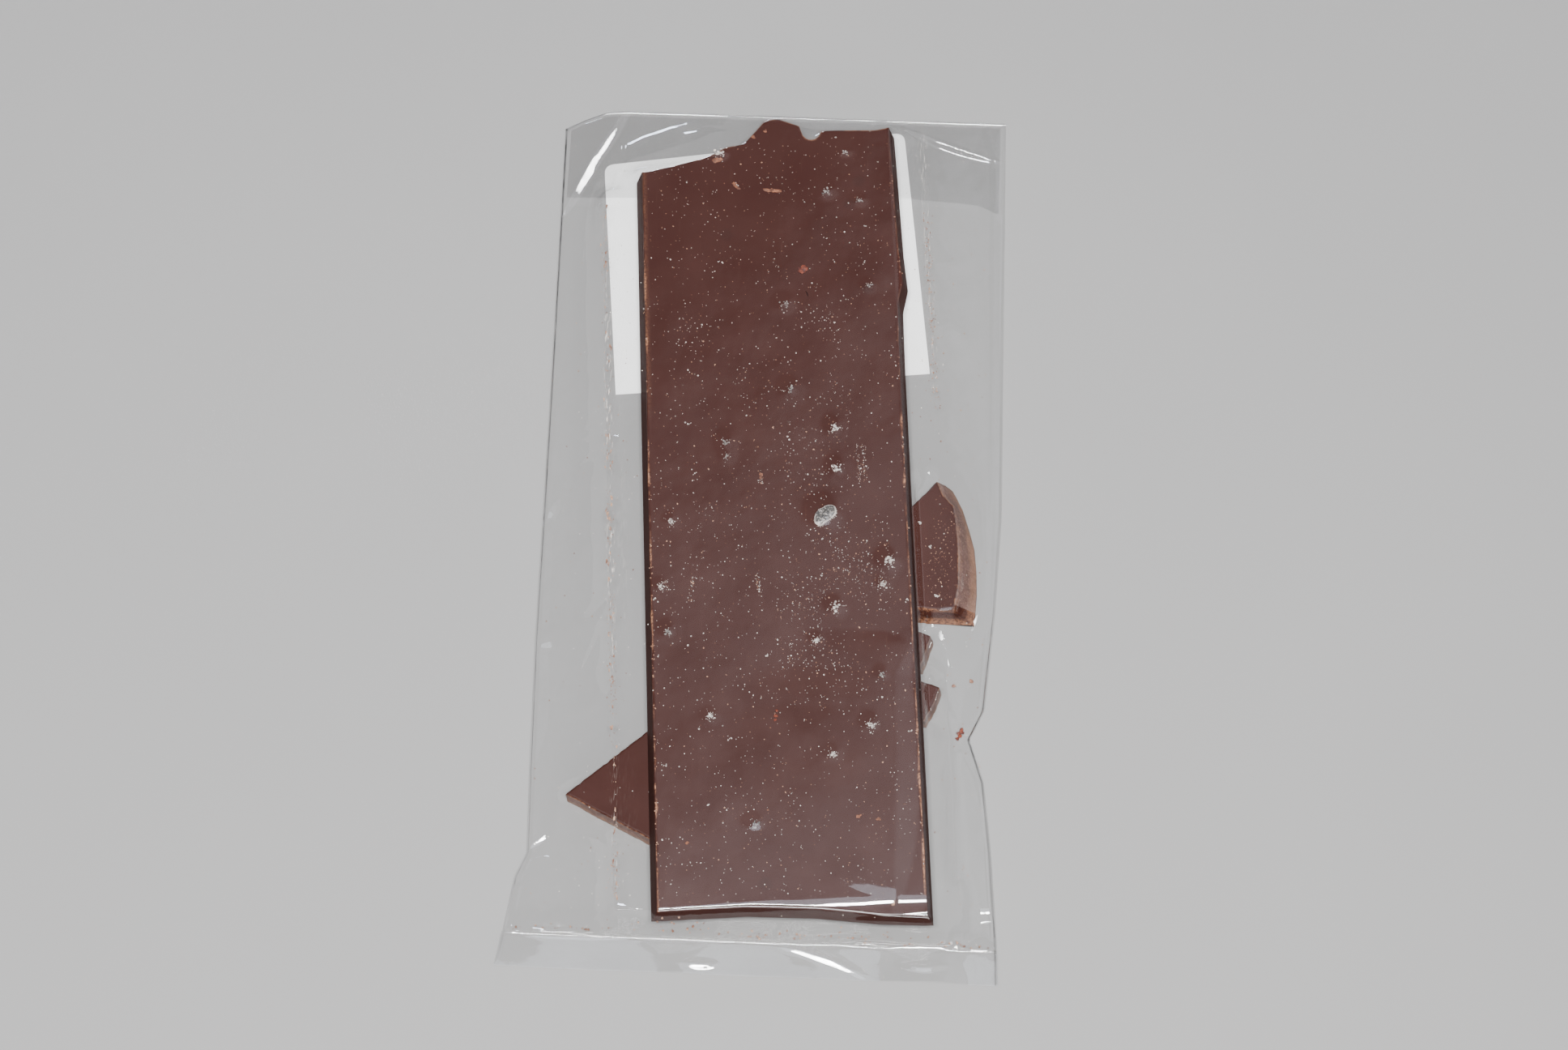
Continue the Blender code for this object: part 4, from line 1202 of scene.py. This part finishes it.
def colour(hex_code):
    """An sRGB colour as #rrggbb, turned to linear."""
    parts = [int(hex_code[i:i + 2], 16) / 255 for i in (1, 3, 5)]
    linear = [p / 12.92 if p <= 0.04045 else ((p + 0.055) / 1.055) ** 2.4 for p in parts]
    return (*linear, 1.0)


def new_surface(name):
    """An empty material, its node tree, and Object coordinates in millimetres."""
    surface = bpy.data.materials.new(name)
    surface.use_nodes = True
    tree = surface.node_tree
    tree.nodes.clear()
    place = add(tree, "ShaderNodeTexCoord").outputs["Object"]
    return surface, tree, add(tree, "ShaderNodeMapping", {0: place, "Scale": (1 / MM, 1 / MM, 1 / MM)})


def patches(tree, place, size, detail, limits, rough=0.5):
    """Patches of about this size in millimetres: limits are (from, to) of the noise, then (low, high)."""
    noise = add(tree, "ShaderNodeTexNoise", {
        "Vector": place, "Scale": 1 / size, "Detail": detail, "Roughness": rough,
    })
    return add(tree, "ShaderNodeMapRange", {0: noise, **dict(enumerate(limits, 1))})


def dimples(tree, place, size, detail, depth, under=None, rough=0.5):
    """Bumps of about this size and depth in millimetres, over others where there are any."""
    noise = add(tree, "ShaderNodeTexNoise", {
        "Vector": place, "Scale": 1 / size, "Detail": detail, "Roughness": rough,
    })
    return add(tree, "ShaderNodeBump", {"Height": noise, "Distance": depth * MM, "Normal": under})


def moulded_chocolate(name, gloss, smoothest, roughest):
    """Dark chocolate set against a polished mould: a satin skin of cocoa butter, smooth and even, with
    pale dust rubbed on it, fine scuffs, faint round marks of bubbles, and a thin crumbly lip of tan. The
    bar's sides were drawn along the mould as it came out, and its open back set in air: both are dull."""
    surface, tree, place = new_surface(name)
    cloudy = add(tree, "ShaderNodeTexNoise", {"Vector": place, "Scale": 1 / 11, "Detail": 4.0})
    # Dust specks are finer in life, and are drawn about 0.25 mm wide so that they show
    specks = add(tree, "ShaderNodeTexNoise", {"Vector": place, "Scale": 1 / 0.3, "Detail": 1.0})
    threshold = patches(tree, place, 16, 2.0, (0.35, 0.7, 0.82, 0.74))
    dust = add(tree, "ShaderNodeMath", {0: specks, 1: threshold}, operation="SUBTRACT")
    dusty = add(tree, "ShaderNodeMapRange", {0: dust, 1: 0.0, 2: 0.05, 3: 0.0, 4: 0.7})
    # Scuffs up to 9 mm long, hair-fine in life and drawn 0.25 mm wide so that they show
    along = add(tree, "ShaderNodeMapping", {0: place, "Rotation": (0, 0, 0.16), "Scale": (4.0, 0.11, 1.0)})
    scuffed = patches(tree, along, 1.0, 1.0, (0.72, 0.82, 0.0, 0.16))
    # Bubble marks, one in some 15 mm, 3 mm across
    bubbles = add(tree, "ShaderNodeTexVoronoi", {"Vector": place, "Scale": 1 / 17}, feature="F1")
    marks = add(tree, "ShaderNodeMapRange", {0: bubbles, 1: 0.06, 2: 0.11, 3: 0.25, 4: 0.0})
    # On the slab the lip also holds a painted highlight: a lighter tint along the raised left rim towards
    # the break
    # The lip is broken up into crumbs of 0.4 mm
    lip = add(tree, "ShaderNodeAttribute", attribute_name="lip").outputs["Fac"]
    crumbs = patches(tree, place, 0.5, 2.0, (0.38, 0.56, 0.1, 1.0), rough=0.6)
    edge = add(tree, "ShaderNodeMath", {0: lip, 1: crumbs}, operation="MULTIPLY")
    tone = "#2b120e"
    for share, over in (
        (cloudy, "#341812"), (dusty, "#6a5046"), (scuffed, "#543c33"), (marks, "#1e0d0a"), (edge, "#8e6248"),
    ):
        tone = add(tree, "ShaderNodeMix", {0: share, 6: tone, 7: over}, data_type="RGBA")
    rough = add(tree, "ShaderNodeMapRange", {0: cloudy, 1: 0.3, 2: 0.7, 3: smoothest, 4: roughest})
    rough_lip = add(tree, "ShaderNodeMath", {0: edge, 1: 0.3, 2: rough}, operation="MULTIPLY_ADD")
    bump = dimples(tree, place, 3.5, 3.0, 0.02)
    grit = add(tree, "ShaderNodeBump", {"Height": dusty, "Distance": 0.08 * MM, "Normal": bump})
    shader = add(tree, "ShaderNodeBsdfPrincipled", {
        "Base Color": tone, "Roughness": rough_lip, "Normal": grit, "IOR": 1.47, "Specular IOR Level": gloss,
    })
    add(tree, "ShaderNodeOutputMaterial", {0: shader})
    return surface


def broken_chocolate():
    """Dark chocolate where it snapped: a dry, crumbly face, paler and matt, with tan grains on its rims."""
    surface, tree, place = new_surface("broken_dark_chocolate")
    cloudy = add(tree, "ShaderNodeTexNoise", {
        "Vector": place, "Scale": 1 / 2.8, "Detail": 6.0, "Roughness": 0.65,
    })
    # Grains of 0.5 mm
    crumble = add(tree, "ShaderNodeTexNoise", {
        "Vector": place, "Scale": 1 / 0.5, "Detail": 3.0, "Roughness": 0.7,
    })
    grains = add(tree, "ShaderNodeMapRange", {0: crumble, 1: 0.56, 2: 0.68, 3: 0.0, 4: 0.6})
    lip = add(tree, "ShaderNodeAttribute", attribute_name="lip").outputs["Fac"]
    edge = add(tree, "ShaderNodeMath", {0: lip, 1: crumble}, operation="MULTIPLY")
    tone = "#40271f"
    for share, over in ((cloudy, "#664e49"), (grains, "#876e5f"), (edge, "#9a7054")):
        tone = add(tree, "ShaderNodeMix", {0: share, 6: tone, 7: over}, data_type="RGBA")
    bump = add(tree, "ShaderNodeBump", {"Height": cloudy, "Distance": 0.5 * MM})
    fine = add(tree, "ShaderNodeBump", {"Height": crumble, "Distance": 0.12 * MM, "Normal": bump})
    shader = add(tree, "ShaderNodeBsdfPrincipled", {
        "Base Color": tone, "Roughness": 0.62, "Normal": fine, "IOR": 1.45,
    })
    add(tree, "ShaderNodeOutputMaterial", {0: shader})
    return surface


def clear_film():
    """Cast polypropylene film, 50 microns thick: clear, stiff and very glossy, so that it shows by sharp
    highlights on its creases. It has small ripples, and is hazed by rubbing and cocoa dust in places."""
    surface, tree, place = new_surface("clear_polypropylene_film")
    ripples = dimples(tree, place, 9, 2.0, 0.07)
    fine = dimples(tree, place, 2.2, 2.0, 0.006, ripples)
    # Both faces of the film reflect, a twelfth of the light when it is seen straight on
    facing = add(tree, "ShaderNodeLayerWeight", {"Blend": 0.5, "Normal": fine}).outputs["Facing"]
    glancing = add(tree, "ShaderNodeMath", {0: facing, 1: 5.0}, operation="POWER")
    gloss = add(tree, "ShaderNodeMath", {0: glancing, 1: 0.92, 2: 0.08}, operation="MULTIPLY_ADD")
    # Rub marks are dashes 2.5 mm long, drawn 0.25 mm wide so that they show, and dust specks are 0.2 mm
    dashes = add(tree, "ShaderNodeMapping", {0: place, "Rotation": (0, 0, -0.075), "Scale": (4.0, 0.4, 1.0)})
    dashed = patches(tree, dashes, 1.0, 2.0, (0.56, 0.68, 0.0, 0.6))
    rub = add(tree, "ShaderNodeAttribute", attribute_name="rub").outputs["Fac"]
    rub_marks = add(tree, "ShaderNodeMath", {0: rub, 1: dashed}, operation="MULTIPLY")
    specks = add(tree, "ShaderNodeTexVoronoi", {"Vector": place, "Scale": 1 / 2.6}, feature="F1")
    dust = add(tree, "ShaderNodeMapRange", {0: specks, 1: 0.03, 2: 0.06, 3: 0.55, 4: 0.0})
    haze = add(tree, "ShaderNodeMath", {0: rub_marks, 1: dust}, operation="MAXIMUM")
    cloud = add(tree, "ShaderNodeMath", {0: haze, 1: 0.0015}, operation="ADD", use_clamp=True)
    both = add(tree, "ShaderNodeMath", {0: gloss, 1: cloud}, operation="ADD", use_clamp=True)
    share = add(tree, "ShaderNodeMath", {0: cloud, 1: both}, operation="DIVIDE", use_clamp=True)
    mirror = add(tree, "ShaderNodeBsdfAnisotropic", {"Roughness": 0.05, "Normal": fine})
    matt = add(tree, "ShaderNodeBsdfDiffuse", {"Color": "#e6ddd2", "Normal": fine})
    seen = add(tree, "ShaderNodeMixShader", {0: share, 1: mirror, 2: matt})
    clear = add(tree, "ShaderNodeBsdfTransparent", {"Color": "#ffffff"})
    mixed = add(tree, "ShaderNodeMixShader", {0: both, 1: clear, 2: seen})
    add(tree, "ShaderNodeOutputMaterial", {0: mixed})
    return surface


def sea_salt():
    """Sea salt: hard clear crystals with frosty broken faces, grey inside, and rims whitened by a painted
    sheen.
    """
    surface, tree, place = new_surface("sea_salt_frosting_and_painted_rim_sheen")
    clouds = add(tree, "ShaderNodeTexNoise", {"Vector": place, "Scale": 1 / 0.5, "Detail": 3.0})
    # Painted sheen: where a face turns away from view its rim is mixed towards white, on top of the
    # frosting's patches of 0.5 mm
    rim = add(tree, "ShaderNodeLayerWeight", {"Blend": 0.55}).outputs["Facing"]
    white = add(tree, "ShaderNodeMath", {0: rim, 1: clouds}, operation="ADD", use_clamp=True)
    frosting_and_rim_sheen = add(tree, "ShaderNodeMix", {0: white, 6: "#8c7e76", 7: "#e6dcd4"}, data_type="RGBA")
    # Inside the whole crystal, grey with paler grains of 0.4 mm
    grains = patches(tree, place, 0.4, 2.0, (0.5, 0.66))
    glassy = add(tree, "ShaderNodeMix", {0: grains, 6: "#3a3735", 7: "#8f8882"}, data_type="RGBA")
    clear = add(tree, "ShaderNodeAttribute", attribute_name="clear").outputs["Fac"]
    base = add(tree, "ShaderNodeMix", {0: clear, 6: frosting_and_rim_sheen, 7: glassy}, data_type="RGBA")
    bump = add(tree, "ShaderNodeBump", {"Height": clouds, "Distance": 0.09 * MM})
    shader = add(tree, "ShaderNodeBsdfPrincipled", {
        "Base Color": base, "Roughness": 0.42, "IOR": 1.54, "Transmission Weight": 0.3, "Normal": bump,
    })
    add(tree, "ShaderNodeOutputMaterial", {0: shader})
    return surface


def mottled_surface(name, size, detail, limits, tones, roughness, bumps=0.0):
    """A matt surface whose two tones mix in patches of this size in millimetres, with bumps of a depth."""
    surface, tree, place = new_surface(name)
    mottle = patches(tree, place, size, detail, limits)
    tone = add(tree, "ShaderNodeMix", {0: mottle, 6: tones[0], 7: tones[1]}, data_type="RGBA")
    bump = dimples(tree, place, size, detail, bumps) if bumps else None
    shader = add(tree, "ShaderNodeBsdfPrincipled", {
        "Base Color": tone, "Roughness": roughness, "Normal": bump,
    })
    add(tree, "ShaderNodeOutputMaterial", {0: shader})
    return surface


def crumbly_chocolate(name, deep, pale):
    """Crumbs, dust and chips of chocolate: matt, and paler than the slab because all their faces are
    broken ones. Dust is the palest, as its grains scatter the most light."""
    return mottled_surface(name, 1.3, 1.0, (0.35, 0.65), (deep, pale), 0.75)


def dried_chili():
    """Dried chili flakes: leathery orange-red skin, darker in random patches, with a slight shine."""
    tones = ("#3c0f06", "#6e2c10")
    return mottled_surface("dried_chili_skin", 0.7, 3.0, (0.35, 0.65), tones, 0.7, bumps=0.2)


def label_paper():
    """Uncoated white label paper: matt, with long shallow pleats and a fine tangle of fibres."""
    surface, tree, place = new_surface("uncoated_white_paper")
    clouds = add(tree, "ShaderNodeTexNoise", {"Vector": place, "Scale": 1 / 12, "Detail": 3.0})
    tone = add(tree, "ShaderNodeMix", {0: clouds, 6: "#f0efed", 7: "#fbfbfa"}, data_type="RGBA")
    # Pleats 2 mm wide and 17 mm long, and fibres drawn 0.3 mm across, coarser than they are, to show
    along = add(tree, "ShaderNodeMapping", {0: place, "Rotation": (0, 0, 0.08), "Scale": (0.5, 0.06, 1.0)})
    pleats = dimples(tree, along, 1.0, 2.0, 0.08)
    fibres = dimples(tree, place, 0.3, 4.0, 0.02, pleats, rough=0.6)
    shader = add(tree, "ShaderNodeBsdfPrincipled", {
        "Base Color": tone, "Roughness": 0.85, "Normal": fibres,
    })
    add(tree, "ShaderNodeOutputMaterial", {0: shader})
    return surface


def studio_floor():
    """A matt, pale grey paper sweep."""
    return mottled_surface("pale_studio_paper", 90, 2.0, (0.0, 1.0), ("#7c7b7a", "#807f7e"), 0.7)


# Studio


def camera():
    """Looks down at 68 degrees from over the welded end."""
    lens = bpy.data.cameras.new("camera")
    lens.lens = 81.8
    lens.sensor_width = 36
    lens.clip_start = 0.05
    lens.clip_end = 20
    obj = bpy.data.objects.new("camera", lens)
    right = Vector((math.cos(CAMERA_ROLL), math.sin(CAMERA_ROLL), 0))
    back = (CAMERA_PLACE - CAMERA_AIM).normalized()
    up = back.cross(right).normalized()
    turn = Matrix((up.cross(back), up, back)).transposed().to_4x4()
    obj.matrix_world = Matrix.Translation(CAMERA_PLACE) @ turn
    bpy.context.scene.collection.objects.link(obj)
    bpy.context.scene.camera = obj


def softbox(name, place, aim, size, power, tint="#ffffff", spread=180.0):
    lamp = bpy.data.lights.new(name, "AREA")
    lamp.shape = "RECTANGLE"
    lamp.size, lamp.size_y = size
    lamp.energy = power
    lamp.spread = math.radians(spread)
    lamp.color = colour(tint)[:3]
    obj = bpy.data.objects.new(name, lamp)
    facing = (Vector(aim) - Vector(place)).to_track_quat("-Z", "Y")
    obj.matrix_world = Matrix.Translation(place) @ facing.to_matrix().to_4x4()
    bpy.context.scene.collection.objects.link(obj)


def room():
    """Grey walls with a pale ceiling to the right, whose soft edge the film over the slab reflects."""
    world = bpy.data.worlds.new("room")
    world.use_nodes = True
    tree = world.node_tree
    tree.nodes.clear()
    towards = add(tree, "ShaderNodeTexCoord").outputs["Generated"]
    near = add(tree, "ShaderNodeVectorMath", {0: towards, 1: SKY_CENTRE}, operation="DOT_PRODUCT")
    tone = add(tree, "ShaderNodeValToRGB", {0: near})
    stops = tone.color_ramp.elements
    stops[0].position, stops[1].position = SKY[0][0], SKY[-1][0]
    for place, _ in SKY[1:-1]:
        stops.new(place)
    for stop, (_, level) in zip(stops, SKY):
        stop.color = (0.97 * level, level, 1.06 * level, 1)
    light = add(tree, "ShaderNodeBackground", {0: tone, 1: 1.0})
    add(tree, "ShaderNodeOutputWorld", {0: light})
    bpy.context.scene.world = world


def studio():
    room()
    softbox("key", (0.0, -0.38, 1.2), (0, 0, 0), (0.45, 0.19), 50.0)
    softbox("glow", (0.0, -0.08, 1.2), (0, 0, 0), (0.5, 0.42), 1.9, "#e8f0ff")
    # Its narrow beam lights only the folded corner
    softbox("right", (1.0, 0.14, 0.686), (-0.045, 0.094, 0), (0.14, 0.14), 0.026, spread=12.0)
    softbox("back", (-0.26, 0.96, 0.67), (0, 0, 0), (0.12, 0.08), 2.2, "#dbe8ff")
    softbox("front", (0.1, -1.2, 0.6), (0, 0, 0), (0.8, 0.4), 8.0)
    corners = [(-FLOOR_REACH, -FLOOR_REACH, 0), (FLOOR_REACH, -FLOOR_REACH, 0),
               (FLOOR_REACH, FLOOR_REACH, 0), (-FLOOR_REACH, FLOOR_REACH, 0)]
    new_piece("floor", corners, [(0, 1, 2, 3)], [studio_floor()])
    camera()


# The bag


def height_reader(x, y, z):
    """Reads the front film's height at a place from its nearest grid point."""
    flat_x, flat_y, flat_z = x.ravel(), y.ravel(), z.ravel()

    def film_height(across, along):
        return float(flat_z[np.argmin((flat_x - across) ** 2 + (flat_y - along) ** 2)])

    return film_height


def bag():
    moulded = moulded_chocolate("moulded_dark_chocolate", gloss=0.4, smoothest=0.3, roughest=0.36)
    side = moulded_chocolate("dull_side_of_dark_chocolate", gloss=0.04, smoothest=0.6, roughest=0.7)
    back = moulded_chocolate("open_back_of_dark_chocolate", gloss=0.12, smoothest=0.42, roughest=0.5)
    crumbled = crumbly_chocolate("chocolate_crumbs", "#643f2e", "#9e7c66")
    chipped = crumbly_chocolate("chocolate_chips", "#4c2a1c", "#7c4c34")
    film, broken, salt = clear_film(), broken_chocolate(), sea_salt()
    front, grid = front_film(film)
    films = [front, back_film(film), folded_flap(film)]
    chocolate = [slab(moulded, broken, side)]
    chocolate += [shard(*given, back, broken, side) for given in SHARDS]
    # All the grains draw from this one generator, in turn
    rng = np.random.default_rng(5)
    places = dust_places(rng)
    kinds = rng.random(len(places)) < CHOCOLATE_DUST_SHARE
    salt_dust = [place for place, is_chocolate in zip(places, kinds) if not is_chocolate]
    chocolate_dust = [place for place, is_chocolate in zip(places, kinds) if is_chocolate]
    tree = grain_tree()
    grains = salt_grains(rng, salt_dust)
    salts = [scatter("salt_grains", tree, grains, salt, detail=1, lumpiness=0.16, seed=3)]
    salts.append(whole_crystal(salt))
    grains = crumb_grains(rng, chocolate_dust, height_reader(*grid))
    chocolate.append(scatter("crumbs", tree, grains, crumbled, detail=1, lumpiness=0.2, seed=4))
    grains = chip_grains(rng)
    chocolate.append(scatter("chips", tree, grains, chipped, detail=2, lumpiness=0.24, seed=7))
    grains = chili_grains(rng)
    chili = scatter("chili_flakes", tree, grains, dried_chili(), detail=2, lumpiness=0.2, seed=6)
    slots = {
        "film": films, "chocolate": chocolate, "salt": salts, "chili": [chili],
        "paper": [paper_label(label_paper())],
    }
    for slot, pieces in slots.items():
        for piece in pieces:
            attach(piece, "root")
            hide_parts("label" if slot == "paper" else "bag")


bag()
studio()
